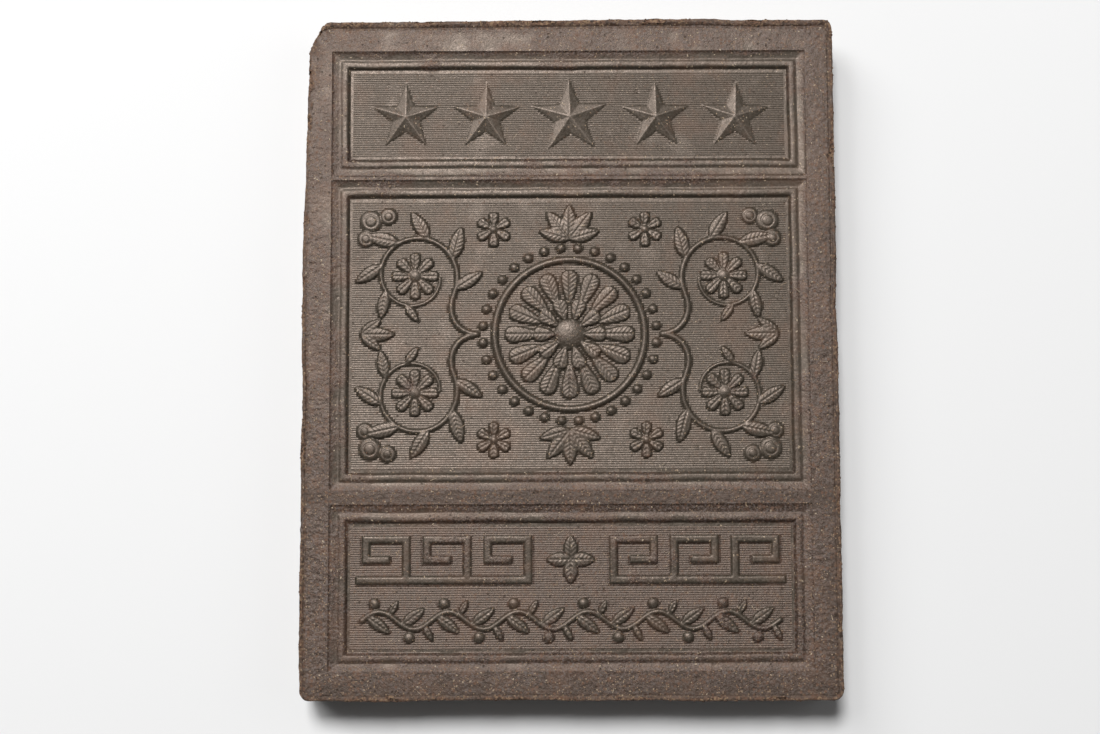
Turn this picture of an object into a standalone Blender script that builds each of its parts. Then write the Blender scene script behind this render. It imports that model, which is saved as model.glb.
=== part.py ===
"""A brick of pressed black tea, lying on its back with the moulded face up.

The face was pressed in a carved mould: three sunk panels, each inside its own sloping
moulding, hold a row of five-pointed stars, a rosette between leafy scrolls, and two
bands of ornament. The back is scored four by four so that a piece can be broken off.
Origin: middle of the underside. +Y is the top of the moulded face, +Z its outward side.
"""

import math
import random

import bmesh
import bpy
from mathutils import Matrix, Vector, noise

MM = 0.001

# ---------------------------------------------------------------- the brick itself
WIDTH = 187 * MM
HEIGHT = 238 * MM
THICKNESS = 22 * MM
CORNER_RADIUS = 3.6 * MM
CORNER_STEPS = 4
EDGE_STEP = 7.0 * MM            # between the points of a straight side
FACE_EDGE = 1.0 * MM            # how far the worn edge of the face and of the back comes in
FACE_EDGE_DEPTH = 1.1 * MM
WAVER = 0.45 * MM               # the most that the pressed edges wander inwards
WAVER_LENGTH = 19 * MM
WORN_CORNER_REACH = (8.2 * MM, 13.4 * MM)  # the worn corner, along X and along Y
WORN_CORNER_LEAN = 14.0         # degrees, so that it is worn most at the face
WORN_SIDE = 1.5 * MM            # the left side is worn in too, most at its upper end
WORN_SIDE_FROM = 25 * MM        # above the middle
WORN_SIDE_RISE = 75 * MM        # from there to its full depth
CHIP_SIZES = (1.4 * MM, 2.8 * MM)
CHIP_STRETCH = 1.6              # the most that a chip is drawn out along its edge
CHIP_FLATNESS = 0.8
CHIP_LIFT = 0.15                # a chip's middle lies this share of its size above the face
CHIPS_AT = {                    # mm from the middle of each side
    "left": (98.0, 84.0, 49.0, 26.0, 12.0, -34.0, -88.0),
    "right": (71.0, 17.0, -52.0, -93.0),
    "top": (-52.0, -9.0, 31.0, 66.0),
    "bottom": (-61.0, -18.0, 24.0, 70.0),
}

# ---------------------------------------------------------------- the moulded face
BORDER_TOP = 10.7 * MM
BORDER_SIDE = 9.9 * MM
MOULDING = 6.6 * MM
STAR_PANEL = 31.9 * MM          # heights of the sunk grounds, top to bottom
PICTURE_PANEL = 96.1 * MM
LOWER_PANEL = 44.2 * MM
UPPER_RAIL = 1.0 * MM           # flat strips between the panels' mouldings
LOWER_RAIL = 4.5 * MM
# the moulding's section, from outside in: how far each step comes in, and how far it drops
SECTION = (
    (0.45 * MM, 0.40 * MM),
    (2.75 * MM, 0.47 * MM),
    (0.50 * MM, -0.42 * MM),
    (1.00 * MM, -0.04 * MM),
    (1.00 * MM, 0.06 * MM),
    (0.90 * MM, 1.03 * MM),
)
GROUND_DROP = sum(drop for _, drop in SECTION)
RELIEF = 1.2 * MM               # how far the ornament stands above its ground
SUNK = 0.25 * MM                # how far the ornament's pieces reach into the ground
CUTTER_HEIGHT = 6.0 * MM

# ---------------------------------------------------------------- stars
STAR_RADIUS = 12.8 * MM
MIDDLE_STAR_RADIUS = 14.4 * MM
STARS_BELOW = 16.9 * MM         # from the upper edge of the ground to the stars' middles
STARS_AT = (-57.5 * MM, -29.2 * MM, 0.5 * MM, 30.8 * MM, 58.8 * MM)
STAR_WAIST = 0.42               # inner radius of a star as a share of its outer one
STAR_HEIGHT = 1.35 * MM
STAR_TURNS = (0.0, -1.0, 2.0, 1.0, -1.5)      # degrees, as the mould was carved by hand

# ---------------------------------------------------------------- rosette and scrolls
SEED_DOME = 5.6 * MM
INNER_PETALS = 10
INNER_REACH = (5.0 * MM, 12.6 * MM)
PETAL_FULLNESS = 0.75           # a petal's width as a share of its part of the ring
OUTER_PETALS = 16
OUTER_REACH = (10.5 * MM, 22.6 * MM)
RING_RADIUS = 26.2 * MM
RING_THICKNESS = 1.3 * MM
BEADS = 32
BEAD_CIRCLE = 30.4 * MM
BEAD_RADIUS = 1.7 * MM
BEAD_FLATNESS = 0.8
SCROLL_START = Vector((32.5 * MM, 0.0))
SCROLL_LEAD = Vector((7.5 * MM, 0.5 * MM))     # how the stem leaves the medallion
SCROLL_RISE = 7.0 * MM                          # and how it comes up to the scroll
BLOSSOM_CENTRE = Vector((54 * MM, 20.5 * MM))
SCROLL_RADIUS = 15.0 * MM
SCROLL_CLOSING = 0.42           # share of its radius that the scroll loses on its way in
SCROLL_FROM = 205.0             # degrees
SCROLL_SWEEP = 380.0
STEM_RADIUS = 1.15 * MM
STEM_SINK = 0.15 * MM           # how far the middle of a stem or ring lies below the ground
# each leaf's place along the scroll as a share of it, and its length in mm
SCROLL_LEAVES = ((0.02, 11.0), (0.13, 12.0), (0.25, 11.5), (0.37, 12.0), (0.49, 11.0),
                 (0.61, 10.0), (0.73, 7.5))
LEAF_SPREAD = 42.0              # degrees between a leaf and its stem
LEAF_WIDTH = 0.44               # share of a leaf's length
BLOSSOM_PETALS = 8
BLOSSOM_REACH = (1.2 * MM, 8.2 * MM)
BLOSSOM_PETAL_WIDTH = 5.0 * MM
BLOSSOM_DOME = 2.7 * MM
PALMETTE_FOOT = 33.4 * MM       # from the panel's middle, upwards and downwards
# each leaf's turn in degrees from straight out, and its length in mm
PALMETTE_LEAVES = ((0.0, 12.4), (38.0, 12.6), (-38.0, 12.6), (74.0, 11.0), (-74.0, 11.0))
SPRIG_CENTRE = Vector((26.5 * MM, 37.0 * MM))
SPRIG_PETALS = 6
SPRIG_REACH = (0.8 * MM, 6.2 * MM)
SPRIG_PETAL_WIDTH = 4.6 * MM
SPRIG_DOME = 1.8 * MM
CLOUD_CENTRE = Vector((69.6 * MM, 40.0 * MM))
CLOUD_LOBES = ((0.0, 0.0, 4.0), (-6.2, 1.7, 3.1), (1.7, -6.2, 3.1))      # mm
SIDE_BUD = Vector((73.0 * MM, 0.0))
SIDE_BUD_LEAVES = ((180.0, 12.0), (143.0, 9.0), (-143.0, 9.0))

# ---------------------------------------------------------------- the two lower bands
FRET_STEP = 7.0 * MM            # from the middle of one stroke to the middle of the next
FRET_STROKE = 3.0 * MM
FRET_BASE = 3.4 * MM            # the base line is a little wider and lower than the rest
FRET_BASE_LOWER = 0.06 * MM
FRET_FOOT = 0.4 * MM            # how far a key's foot stays inside the base line
STROKE_LEAN = 0.4 * MM
FRET_UNITS = 3                  # on each side of the lozenge
FRET_MIDDLE = 9.6 * MM          # above the middle of the lower ground
FRET_GAP = 6.3 * MM             # between the lozenge's point and the first key
FRET_END_LESS = 0.7             # share of a step by which the base line stops short
LOZENGE = 8.4 * MM
VINE_MIDDLE = -11.2 * MM
VINE_WAVES = 6
VINE_LENGTH = 144 * MM
VINE_SWING = 3.0 * MM
VINE_STEM = 1.05 * MM
VINE_LEAF = 9.6 * MM
VINE_TWIG = 6.0 * MM
# where in a bend each thing grows, as a share of the bend, and its turn in degrees
VINE_LEAF_AT = (0.16, -36.0)
VINE_TWIG_AT = (0.80, 62.0)
VINE_BERRY_AT = 0.36
VINE_BERRY = 2.0 * MM
VINE_BERRY_OUT = 3.1 * MM
VINE_BERRY_FLATNESS = 0.68

# ---------------------------------------------------------------- the scored back
SCORES = 4                      # pads each way
SCORE_SIZE = 4.0 * MM           # half the width of the scoring tool's edge
SCORE_DEPTHS = (1.2 * MM, 1.3 * MM)     # the scores along Y, and those along X

TEA_COLOUR = (0.16, 0.128, 0.103, 1.0)
TEA_ROUGHNESS = 0.62

SMALL = 1e-6


def clear_scene():
    for item in list(bpy.data.objects):
        bpy.data.objects.remove(item, do_unlink=True)


def new_collection(name):
    collection = bpy.data.collections.new(name)
    bpy.context.scene.collection.children.link(collection)
    return collection


def add_object(name, mesh_data, collection):
    """Turn a bmesh into an object of the named collection."""
    bmesh.ops.recalc_face_normals(mesh_data, faces=mesh_data.faces)
    mesh = bpy.data.meshes.new(name)
    mesh_data.to_mesh(mesh)
    mesh_data.free()
    item = bpy.data.objects.new(name, mesh)
    collection.objects.link(item)
    return item


def as_cutter(item):
    item.hide_render = True
    item.display_type = "WIRE"
    return item


def tea_material():
    material = bpy.data.materials.new("pressed_tea")
    material.use_nodes = True
    shader = material.node_tree.nodes["Principled BSDF"]
    shader.inputs["Base Color"].default_value = TEA_COLOUR
    shader.inputs["Roughness"].default_value = TEA_ROUGHNESS
    shader.inputs["Metallic"].default_value = 0.0
    material.diffuse_color = TEA_COLOUR
    return material


def turned(vector, angle):
    return Vector((vector.x * math.cos(angle) - vector.y * math.sin(angle),
                   vector.x * math.sin(angle) + vector.y * math.cos(angle)))


def heading(angle):
    return Vector((math.cos(angle), math.sin(angle)))


# ---------------------------------------------------------------- the plain slab
def outline():
    """Points round the rounded outline, each with the way in from there."""
    half_x = WIDTH / 2 - CORNER_RADIUS
    half_y = HEIGHT / 2 - CORNER_RADIUS
    corners = [Vector((half_x, half_y)), Vector((-half_x, half_y)),
               Vector((-half_x, -half_y)), Vector((half_x, -half_y))]
    found = []
    for index, corner in enumerate(corners):
        for step in range(CORNER_STEPS + 1):
            out = heading(math.pi / 2 * (index + step / CORNER_STEPS))
            found.append((corner + out * CORNER_RADIUS, -out))
        reach = corners[(index + 1) % 4] - corner
        steps = round(reach.length / EDGE_STEP)
        for step in range(1, steps):
            found.append((corner + reach * step / steps + out * CORNER_RADIUS, -out))
    return found


def waver(point, level):
    """How far the pressed edge lies inside the mould's wall here, always inwards."""
    spot = Vector((point.x, point.y, level * WAVER_LENGTH)) / WAVER_LENGTH
    return max(0.0, noise.noise(spot)) * WAVER


def side_wear(height):
    """How far the left side is worn in at this height up the face."""
    share = min(1.0, max(0.0, (height - WORN_SIDE_FROM) / WORN_SIDE_RISE))
    return WORN_SIDE * share * share * (3 - 2 * share)


def ring_points(inset, level, height):
    """A ring of the slab; the wear on the left side is all at the face and fades below."""
    found = []
    for point, inwards in outline():
        place = point + inwards * (inset + waver(point, level))
        if point.x < 0:
            place.x += side_wear(point.y) * height / THICKNESS * max(0.0, inwards.x)
        found.append(place)
    return found


def make_slab(collection):
    """The slab as a stack of rings, each raised from the one below it."""
    rings = (
        (FACE_EDGE, 0.0),
        (0.0, FACE_EDGE_DEPTH),
        (0.0, THICKNESS - FACE_EDGE_DEPTH),
        (FACE_EDGE, THICKNESS),
    )
    shape = bmesh.new()
    made = bmesh.ops.create_circle(shape, cap_ends=True, segments=len(outline()), radius=1)
    ring = made["verts"]
    for level, (inset, height) in enumerate(rings):
        if level:
            cap = next(face for face in shape.faces if set(face.verts) == set(ring))
            raised = bmesh.ops.extrude_face_region(shape, geom=[cap])
            new = {v for v in raised["geom"] if isinstance(v, bmesh.types.BMVert)}
            ring = [next(e.other_vert(v) for e in v.link_edges if e.other_vert(v) in new)
                    for v in ring]
            if level > 1:
                shape.faces.remove(cap)
        for vert, point in zip(ring, ring_points(inset, level, height)):
            vert.co = (point.x, point.y, height)
    return add_object("brick", shape, collection)


def worn_corner(collection):
    """A slanting block that takes off the worn upper left corner."""
    reach_x, reach_y = WORN_CORNER_REACH
    shape = bmesh.new()
    bmesh.ops.create_cube(shape, size=1.0)
    long_side = 4 * math.hypot(reach_x, reach_y)
    lean = Matrix.Rotation(math.radians(-WORN_CORNER_LEAN), 4, "Y")
    turn = Matrix.Rotation(math.atan2(reach_x, -reach_y), 4, "Z")
    middle = Vector((-WIDTH / 2 + reach_x / 2, HEIGHT / 2 - reach_y / 2, THICKNESS))
    size = Matrix.Diagonal((long_side, long_side, 4 * THICKNESS, 1.0))
    shift = Matrix.Translation((long_side / 2, 0, 0))
    bmesh.ops.transform(shape, matrix=Matrix.Translation(middle) @ turn @ lean @ shift @ size,
                        verts=shape.verts)
    return as_cutter(add_object("worn_corner", shape, collection))


def chips(collection):
    """Faceted lumps that bite small chips out of the face's edges."""
    draw = random.Random(7)
    sides = {
        "left": (Vector((-WIDTH / 2, 0)), Vector((0, 1))),
        "right": (Vector((WIDTH / 2, 0)), Vector((0, 1))),
        "top": (Vector((0, HEIGHT / 2)), Vector((1, 0))),
        "bottom": (Vector((0, -HEIGHT / 2)), Vector((1, 0))),
    }
    for side, (middle, along) in sides.items():
        for index, place in enumerate(CHIPS_AT[side]):
            size = draw.uniform(*CHIP_SIZES)
            spot = middle + along * place * MM
            if side == "left":
                spot.x += side_wear(spot.y)
            length = 1.0 + draw.random() * CHIP_STRETCH
            shape = bmesh.new()
            bmesh.ops.create_icosphere(shape, subdivisions=1, radius=size)
            turn = Matrix.Rotation(draw.uniform(0, math.tau), 4, "Z")
            stretch = Matrix.Diagonal((length if along.x else CHIP_FLATNESS,
                                       length if along.y else CHIP_FLATNESS,
                                       CHIP_FLATNESS, 1.0))
            move = Matrix.Translation((spot.x, spot.y, THICKNESS + CHIP_LIFT * size))
            bmesh.ops.transform(shape, matrix=move @ stretch @ turn, verts=shape.verts)
            as_cutter(add_object(f"chip_{side}_{index}", shape, collection))


def panel_cutter(name, top, height, collection):
    """A block whose underside is inset step by step into the moulding and the ground."""
    half = WIDTH / 2 - BORDER_SIDE
    outer = height + 2 * MOULDING
    shape = bmesh.new()
    bmesh.ops.create_cube(shape, size=1.0)
    block = Matrix.Diagonal((2 * half, outer, CUTTER_HEIGHT, 1.0))
    move = Matrix.Translation((0, top + MOULDING - outer / 2, THICKNESS + CUTTER_HEIGHT / 2))
    bmesh.ops.transform(shape, matrix=move @ block, verts=shape.verts)
    under = min(shape.faces, key=lambda face: face.calc_center_median().z)
    for inset, drop in SECTION:
        bmesh.ops.inset_individual(shape, faces=[under], thickness=inset, depth=drop)
    return as_cutter(add_object(name, shape, collection))


def score_cutters(collection):
    """Long prisms with their edge up, which score the back."""
    half_drop = SCORE_SIZE / 2
    for axis, (length, span) in enumerate(((HEIGHT, WIDTH), (WIDTH, HEIGHT))):
        for index in range(1, SCORES):
            place = span * (index / SCORES - 0.5)
            shape = bmesh.new()
            bmesh.ops.create_cone(shape, cap_ends=True, segments=4, depth=length * 1.2,
                                  radius1=SCORE_SIZE, radius2=SCORE_SIZE)
            lie = Matrix.Rotation(math.pi / 2, 4, "X" if axis == 0 else "Y")
            flat = Matrix.Diagonal((1, 1, half_drop / SCORE_SIZE, 1.0))
            sink = SCORE_DEPTHS[axis] - half_drop
            where = (place, 0, sink) if axis == 0 else (0, place, sink)
            bmesh.ops.transform(shape, matrix=Matrix.Translation(where) @ flat @ lie,
                                verts=shape.verts)
            as_cutter(add_object(f"score_{axis}_{index}", shape, collection))


# ---------------------------------------------------------------- pieces of ornament
def ground_level():
    return THICKNESS - GROUND_DROP


def place_on_ground(middle, angle=0.0):
    spot = Matrix.Translation((middle.x, middle.y, ground_level() - SUNK))
    return spot @ Matrix.Rotation(angle, 4, "Z")


def add_star(name, middle, radius, turn, collection):
    """A cone of ten sides with every second corner drawn in: five ridges, five valleys."""
    grown = 1 + SUNK / STAR_HEIGHT
    shape = bmesh.new()
    bmesh.ops.create_cone(shape, cap_ends=True, segments=10, radius1=radius * grown, radius2=0,
                          depth=STAR_HEIGHT + SUNK)
    for vert in shape.verts:
        vert.co.z += (STAR_HEIGHT + SUNK) / 2
    rim = sorted((v for v in shape.verts if v.co.z < SMALL),
                 key=lambda v: math.atan2(v.co.y, v.co.x))
    for index, vert in enumerate(rim):
        out = heading(math.pi / 2 + index * math.pi / 5)
        reach = radius * grown * (STAR_WAIST if index % 2 else 1.0)
        vert.co.xy = out * reach
    bmesh.ops.transform(shape, matrix=place_on_ground(middle, math.radians(turn)),
                        verts=shape.verts)
    return add_object(name, shape, collection)


def add_leaf(name, foot, angle, length, width, collection, height=RELIEF, sides=8, blunt=0.0):
    """A low cone drawn out to a pointed leaf, or with blunt to a round-ended petal."""
    grown = 1 + SUNK / height
    peak = length * (0.46 + 0.12 * blunt)
    shape = bmesh.new()
    bmesh.ops.create_cone(shape, cap_ends=True, segments=sides, radius1=1, radius2=0,
                          depth=height + SUNK)
    for vert in shape.verts:
        vert.co.z += (height + SUNK) / 2
        if vert.co.z > SMALL:
            vert.co.x = peak
            continue
        along, across = vert.co.x, vert.co.y
        pointed = abs(across) ** 0.6 * (1 - 0.15 * along)
        rounded = 1 + 0.45 * along
        vert.co.x = peak + grown * (length * (along + 1) / 2 - peak)
        vert.co.y = grown * across * width / 2 * (pointed * (1 - blunt) + rounded * blunt)
    bmesh.ops.transform(shape, matrix=place_on_ground(foot, angle), verts=shape.verts)
    return add_object(name, shape, collection)


def add_dome(name, middle, radius, collection, height=RELIEF, segments=8, rings=4):
    shape = bmesh.new()
    bmesh.ops.create_uvsphere(shape, u_segments=segments, v_segments=rings, radius=1)
    size = Matrix.Diagonal((radius, radius, height + SUNK, 1.0))
    bmesh.ops.transform(shape, matrix=place_on_ground(middle) @ size, verts=shape.verts)
    return add_object(name, shape, collection)


def add_ball(name, middle, radius, flatness, collection):
    """A small faceted ball, pressed flat and half sunk in the ground."""
    shape = bmesh.new()
    bmesh.ops.create_icosphere(shape, subdivisions=1, radius=radius)
    flat = Matrix.Diagonal((1, 1, flatness, 1.0))
    bmesh.ops.transform(shape, matrix=place_on_ground(middle) @ flat, verts=shape.verts)
    return add_object(name, shape, collection)


def add_stem(name, points, collection, radius=STEM_RADIUS):
    """A round stem along the points, a little more than half sunk in the ground."""
    curve = bpy.data.curves.new(name, "CURVE")
    curve.dimensions = "3D"
    curve.bevel_depth = radius
    curve.bevel_resolution = 1
    curve.use_fill_caps = True
    spline = curve.splines.new("POLY")
    spline.points.add(len(points) - 1)
    for target, point in zip(spline.points, points):
        target.co = (point.x, point.y, ground_level() - STEM_SINK, 1.0)
    return curve_to_mesh(name, curve, Matrix.Identity(4), collection)


def stroke_outline(points, width):
    """Both sides of a square-cornered stroke along the points, as one closed outline."""
    ways = [(b - a).normalized() for a, b in zip(points, points[1:])]
    sides = []
    for index, point in enumerate(points):
        before = ways[max(index - 1, 0)]
        after = ways[min(index, len(ways) - 1)]
        across = Vector((-before.y, before.x)) + Vector((-after.y, after.x)) * (before != after)
        cap = ways[0] * -1 if index == 0 else ways[-1] if index == len(points) - 1 else None
        middle = point + cap * width / 2 if cap else point
        sides.append((middle + across * width / 2, middle - across * width / 2))
    return [left for left, _ in sides] + [right for _, right in reversed(sides)]


def add_stroke(name, points, collection, width=FRET_STROKE, height=RELIEF):
    """A flat-topped stroke with leaning sides, as a filled outline that is raised."""
    curve = bpy.data.curves.new(name, "CURVE")
    curve.dimensions = "2D"
    curve.fill_mode = "BOTH"
    curve.extrude = (height + SUNK) / 2 - STROKE_LEAN
    curve.bevel_depth = STROKE_LEAN
    curve.bevel_resolution = 0
    curve.offset = -STROKE_LEAN
    corners = stroke_outline(points, width)
    spline = curve.splines.new("POLY")
    spline.points.add(len(corners) - 1)
    for target, corner in zip(spline.points, corners):
        target.co = (corner.x, corner.y, 0.0, 1.0)
    spline.use_cyclic_u = True
    lift = ground_level() + (height - SUNK) / 2
    return curve_to_mesh(name, curve, Matrix.Translation((0, 0, lift)), collection)


def curve_to_mesh(name, curve, matrix, collection):
    """The solid of a curve, with its loose caps welded on."""
    item = bpy.data.objects.new(name + "_line", curve)
    collection.objects.link(item)
    bpy.context.view_layer.update()
    seen = item.evaluated_get(bpy.context.evaluated_depsgraph_get())
    shape = bmesh.new()
    shape.from_mesh(bpy.data.meshes.new_from_object(seen))
    bmesh.ops.transform(shape, matrix=matrix, verts=shape.verts)
    bmesh.ops.remove_doubles(shape, verts=shape.verts, dist=SMALL)
    bpy.data.objects.remove(item, do_unlink=True)
    return add_object(name, shape, collection)


# ---------------------------------------------------------------- star panel
def add_stars(top, collection):
    for index in range(5):
        radius = MIDDLE_STAR_RADIUS if index == 2 else STAR_RADIUS
        middle = Vector((STARS_AT[index], top - STARS_BELOW))
        add_star(f"star_{index}", middle, radius, STAR_TURNS[index], collection)


# ---------------------------------------------------------------- picture panel
def add_flower(name, middle, petals, reach, dome, collection, width=None, first=0.0):
    """Round-ended petals in a ring, and a dome over their inner ends."""
    inner, outer = reach
    width = width or PETAL_FULLNESS * math.tau * outer / petals
    for index in range(petals):
        angle = first + math.tau * index / petals
        add_leaf(f"{name}_petal_{index}", middle + heading(angle) * inner, angle,
                 outer - inner, width, collection, blunt=1.0)
    if dome:
        add_dome(f"{name}_dome", middle, dome, collection)


def add_medallion(middle, collection):
    add_flower("outer", middle, OUTER_PETALS, OUTER_REACH, 0, collection)
    add_flower("inner", middle, INNER_PETALS, INNER_REACH, 0, collection)
    add_dome("seed_dome", middle, SEED_DOME, collection, height=RELIEF * 1.15, segments=16,
             rings=8)
    level = ground_level() - STEM_SINK
    bpy.ops.mesh.primitive_torus_add(major_segments=40, minor_segments=6,
                                     major_radius=RING_RADIUS, minor_radius=RING_THICKNESS,
                                     location=(middle.x, middle.y, level))
    ring = bpy.context.object
    ring.name = "ring"
    for holder in list(ring.users_collection):
        holder.objects.unlink(ring)
    collection.objects.link(ring)
    for index in range(BEADS):
        spot = middle + heading(math.tau * (index + 0.5) / BEADS) * BEAD_CIRCLE
        add_ball(f"bead_{index}", spot, BEAD_RADIUS, BEAD_FLATNESS, collection)


def scroll_point(share):
    angle = math.radians(SCROLL_FROM - SCROLL_SWEEP * share)
    radius = SCROLL_RADIUS * (1 - SCROLL_CLOSING * max(share, 0.0) ** 1.2)
    return BLOSSOM_CENTRE + heading(angle) * radius


def scroll_way(share):
    step = scroll_point(share + 0.01) - scroll_point(share - 0.01)
    return step.normalized()


def scroll_line(lead_points=5, turn_points=24):
    """From the medallion's side up and over the blossom, and in round it."""
    end = scroll_point(0)
    before = end - scroll_way(0) * SCROLL_RISE
    after = SCROLL_START + SCROLL_LEAD
    line = []
    for index in range(lead_points):
        t = index / lead_points
        s = 1 - t
        line.append(SCROLL_START * s ** 3 + after * 3 * s * s * t
                    + before * 3 * s * t * t + end * t ** 3)
    line += [scroll_point(index / turn_points) for index in range(turn_points + 1)]
    return line


def mirrored(point, sign_x, sign_y):
    return Vector((point.x * sign_x, point.y * sign_y))


def add_quarter(middle, sign_x, sign_y, collection):
    """One of the four scrolls, with its leaves and blossom, a sprig and a corner cloud."""
    tag = f"{'r' if sign_x > 0 else 'l'}{'u' if sign_y > 0 else 'd'}"

    def spot(point):
        return middle + mirrored(point, sign_x, sign_y)

    def way(vector):
        seen = mirrored(vector, sign_x, sign_y)
        return math.atan2(seen.y, seen.x)

    add_stem(f"stem_{tag}", [spot(point) for point in scroll_line()], collection)
    for index, (share, length) in enumerate(SCROLL_LEAVES):
        aim = turned(scroll_way(share), math.radians(LEAF_SPREAD))
        add_leaf(f"leaf_{tag}_{index}", spot(scroll_point(share)), way(aim), length * MM,
                 length * MM * LEAF_WIDTH, collection)
    add_flower(f"blossom_{tag}", spot(BLOSSOM_CENTRE), BLOSSOM_PETALS, BLOSSOM_REACH,
               BLOSSOM_DOME, collection, width=BLOSSOM_PETAL_WIDTH)
    add_flower(f"sprig_{tag}", spot(SPRIG_CENTRE), SPRIG_PETALS, SPRIG_REACH, SPRIG_DOME,
               collection, width=SPRIG_PETAL_WIDTH, first=math.pi / 2)
    for index, (x, y, radius) in enumerate(CLOUD_LOBES):
        add_dome(f"cloud_{tag}_{index}", spot(CLOUD_CENTRE + Vector((x, y)) * MM),
                 radius * MM, collection, height=RELIEF * 0.9)


def add_picture(middle, collection):
    add_medallion(middle, collection)
    for sign_x in (1, -1):
        for sign_y in (1, -1):
            add_quarter(middle, sign_x, sign_y, collection)
    for sign in (1, -1):
        foot = middle + Vector((0, sign * PALMETTE_FOOT))
        for index, (spread, length) in enumerate(PALMETTE_LEAVES):
            angle = math.radians(90 * sign + spread)
            add_leaf(f"palmette_{sign}_{index}", foot, angle, length * MM,
                     length * MM * LEAF_WIDTH, collection)
        bud = middle + mirrored(SIDE_BUD, sign, 1)
        for index, (spread, length) in enumerate(SIDE_BUD_LEAVES):
            angle = math.radians(spread if sign > 0 else 180 - spread)
            add_leaf(f"bud_{sign}_{index}", bud, angle, length * MM,
                     length * MM * LEAF_WIDTH, collection)


# ---------------------------------------------------------------- lower panel
def add_fret(middle, collection):
    """A running key pattern on a base line, mirrored about a lozenge."""
    base = -FRET_STEP
    corners = ((0, 0), (0, 2), (2, 2), (2, 1), (1, 1))
    start = LOZENGE + FRET_GAP
    for sign in (1, -1):
        for unit in range(FRET_UNITS):
            left = start + unit * 3 * FRET_STEP
            points = [middle + Vector((sign * (left + x * FRET_STEP), base + y * FRET_STEP))
                      for x, y in corners]
            points[0].y += FRET_FOOT
            add_stroke(f"fret_{sign}_{unit}", points, collection)
        end = start + (3 * FRET_UNITS - FRET_END_LESS) * FRET_STEP
        line = [middle + Vector((sign * x, base)) for x in (start, end)]
        add_stroke(f"fret_{sign}_base", line, collection, width=FRET_BASE,
                   height=RELIEF - FRET_BASE_LOWER)
    for angle in (0, 90, 180, 270):
        add_leaf(f"lozenge_{angle}", middle, math.radians(angle), LOZENGE, LOZENGE * 0.6,
                 collection)


def vine_point(share):
    return Vector(((share - 0.5) * VINE_LENGTH,
                   VINE_SWING * math.sin(math.tau * VINE_WAVES * share)))


def add_vine(middle, collection, steps=8):
    """A waving stem with two leaves and a berry in every bend."""
    count = VINE_WAVES * steps
    add_stem("vine", [middle + vine_point(i / count) for i in range(count + 1)], collection,
             radius=VINE_STEM)
    bends = 2 * VINE_WAVES
    for bend in range(bends):
        side = 1 if bend % 2 == 0 else -1
        for kind, length, (place, turn) in (("leaf", VINE_LEAF, VINE_LEAF_AT),
                                            ("twig", VINE_TWIG, VINE_TWIG_AT)):
            foot = middle + vine_point((bend + place) / bends)
            add_leaf(f"vine_{kind}_{bend}", foot, math.radians(turn * side), length,
                     length * LEAF_WIDTH, collection)
        spot = middle + vine_point((bend + VINE_BERRY_AT) / bends)
        spot.y += side * VINE_BERRY_OUT
        add_ball(f"berry_{bend}", spot, VINE_BERRY, VINE_BERRY_FLATNESS, collection)


# ---------------------------------------------------------------- joining
def apply_boolean(target, collection, operation, solver):
    """Cut or join everything in the collection, then remove it."""
    modifier = target.modifiers.new(collection.name, "BOOLEAN")
    modifier.operation = operation
    modifier.operand_type = "COLLECTION"
    modifier.collection = collection
    modifier.solver = solver
    bpy.context.view_layer.update()
    seen = target.evaluated_get(bpy.context.evaluated_depsgraph_get())
    mesh = bpy.data.meshes.new_from_object(seen)
    target.modifiers.remove(modifier)
    target.data = mesh
    for item in list(collection.objects):
        bpy.data.objects.remove(item, do_unlink=True)


def main():
    clear_scene()
    parts = new_collection("tea_brick")
    cutters = new_collection("cutters")
    ornament = new_collection("ornament")

    star_top = HEIGHT / 2 - BORDER_TOP - MOULDING
    picture_top = star_top - STAR_PANEL - 2 * MOULDING - UPPER_RAIL
    lower_top = picture_top - PICTURE_PANEL - 2 * MOULDING - LOWER_RAIL

    brick = make_slab(parts)
    worn_corner(cutters)
    chips(cutters)
    panel_cutter("star_panel", star_top, STAR_PANEL, cutters)
    panel_cutter("picture_panel", picture_top, PICTURE_PANEL, cutters)
    panel_cutter("lower_panel", lower_top, LOWER_PANEL, cutters)
    score_cutters(cutters)
    apply_boolean(brick, cutters, "DIFFERENCE", "MANIFOLD")

    add_stars(star_top, ornament)
    add_picture(Vector((0, picture_top - PICTURE_PANEL / 2)), ornament)
    lower_middle = lower_top - LOWER_PANEL / 2
    add_fret(Vector((0, lower_middle + FRET_MIDDLE)), ornament)
    add_vine(Vector((0, lower_middle + VINE_MIDDLE)), ornament)
    apply_boolean(brick, ornament, "UNION", "MANIFOLD")

    brick.data.name = "brick"
    brick.data.materials.clear()
    brick.data.materials.append(tea_material())


main()
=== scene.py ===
"""The looks of a brick of pressed black tea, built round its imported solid.

The moulded face is one field of heights, worked out by functions for the mouldings, the stars
and the leafy ornament, and cut into sheets. A band of rows carries the border over its ragged
edge and down the sides to the scored back. Geometry Nodes rule the sunk grounds and scatter
the flecks, the stalks and the crumbs of tea. Everything is in metres, in the solid's frame.
"""

import functools
import math

import bpy
import numpy as np
from bpy.props import FloatProperty, FloatVectorProperty, IntProperty, PointerProperty
from mathutils import Matrix, Vector


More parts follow.
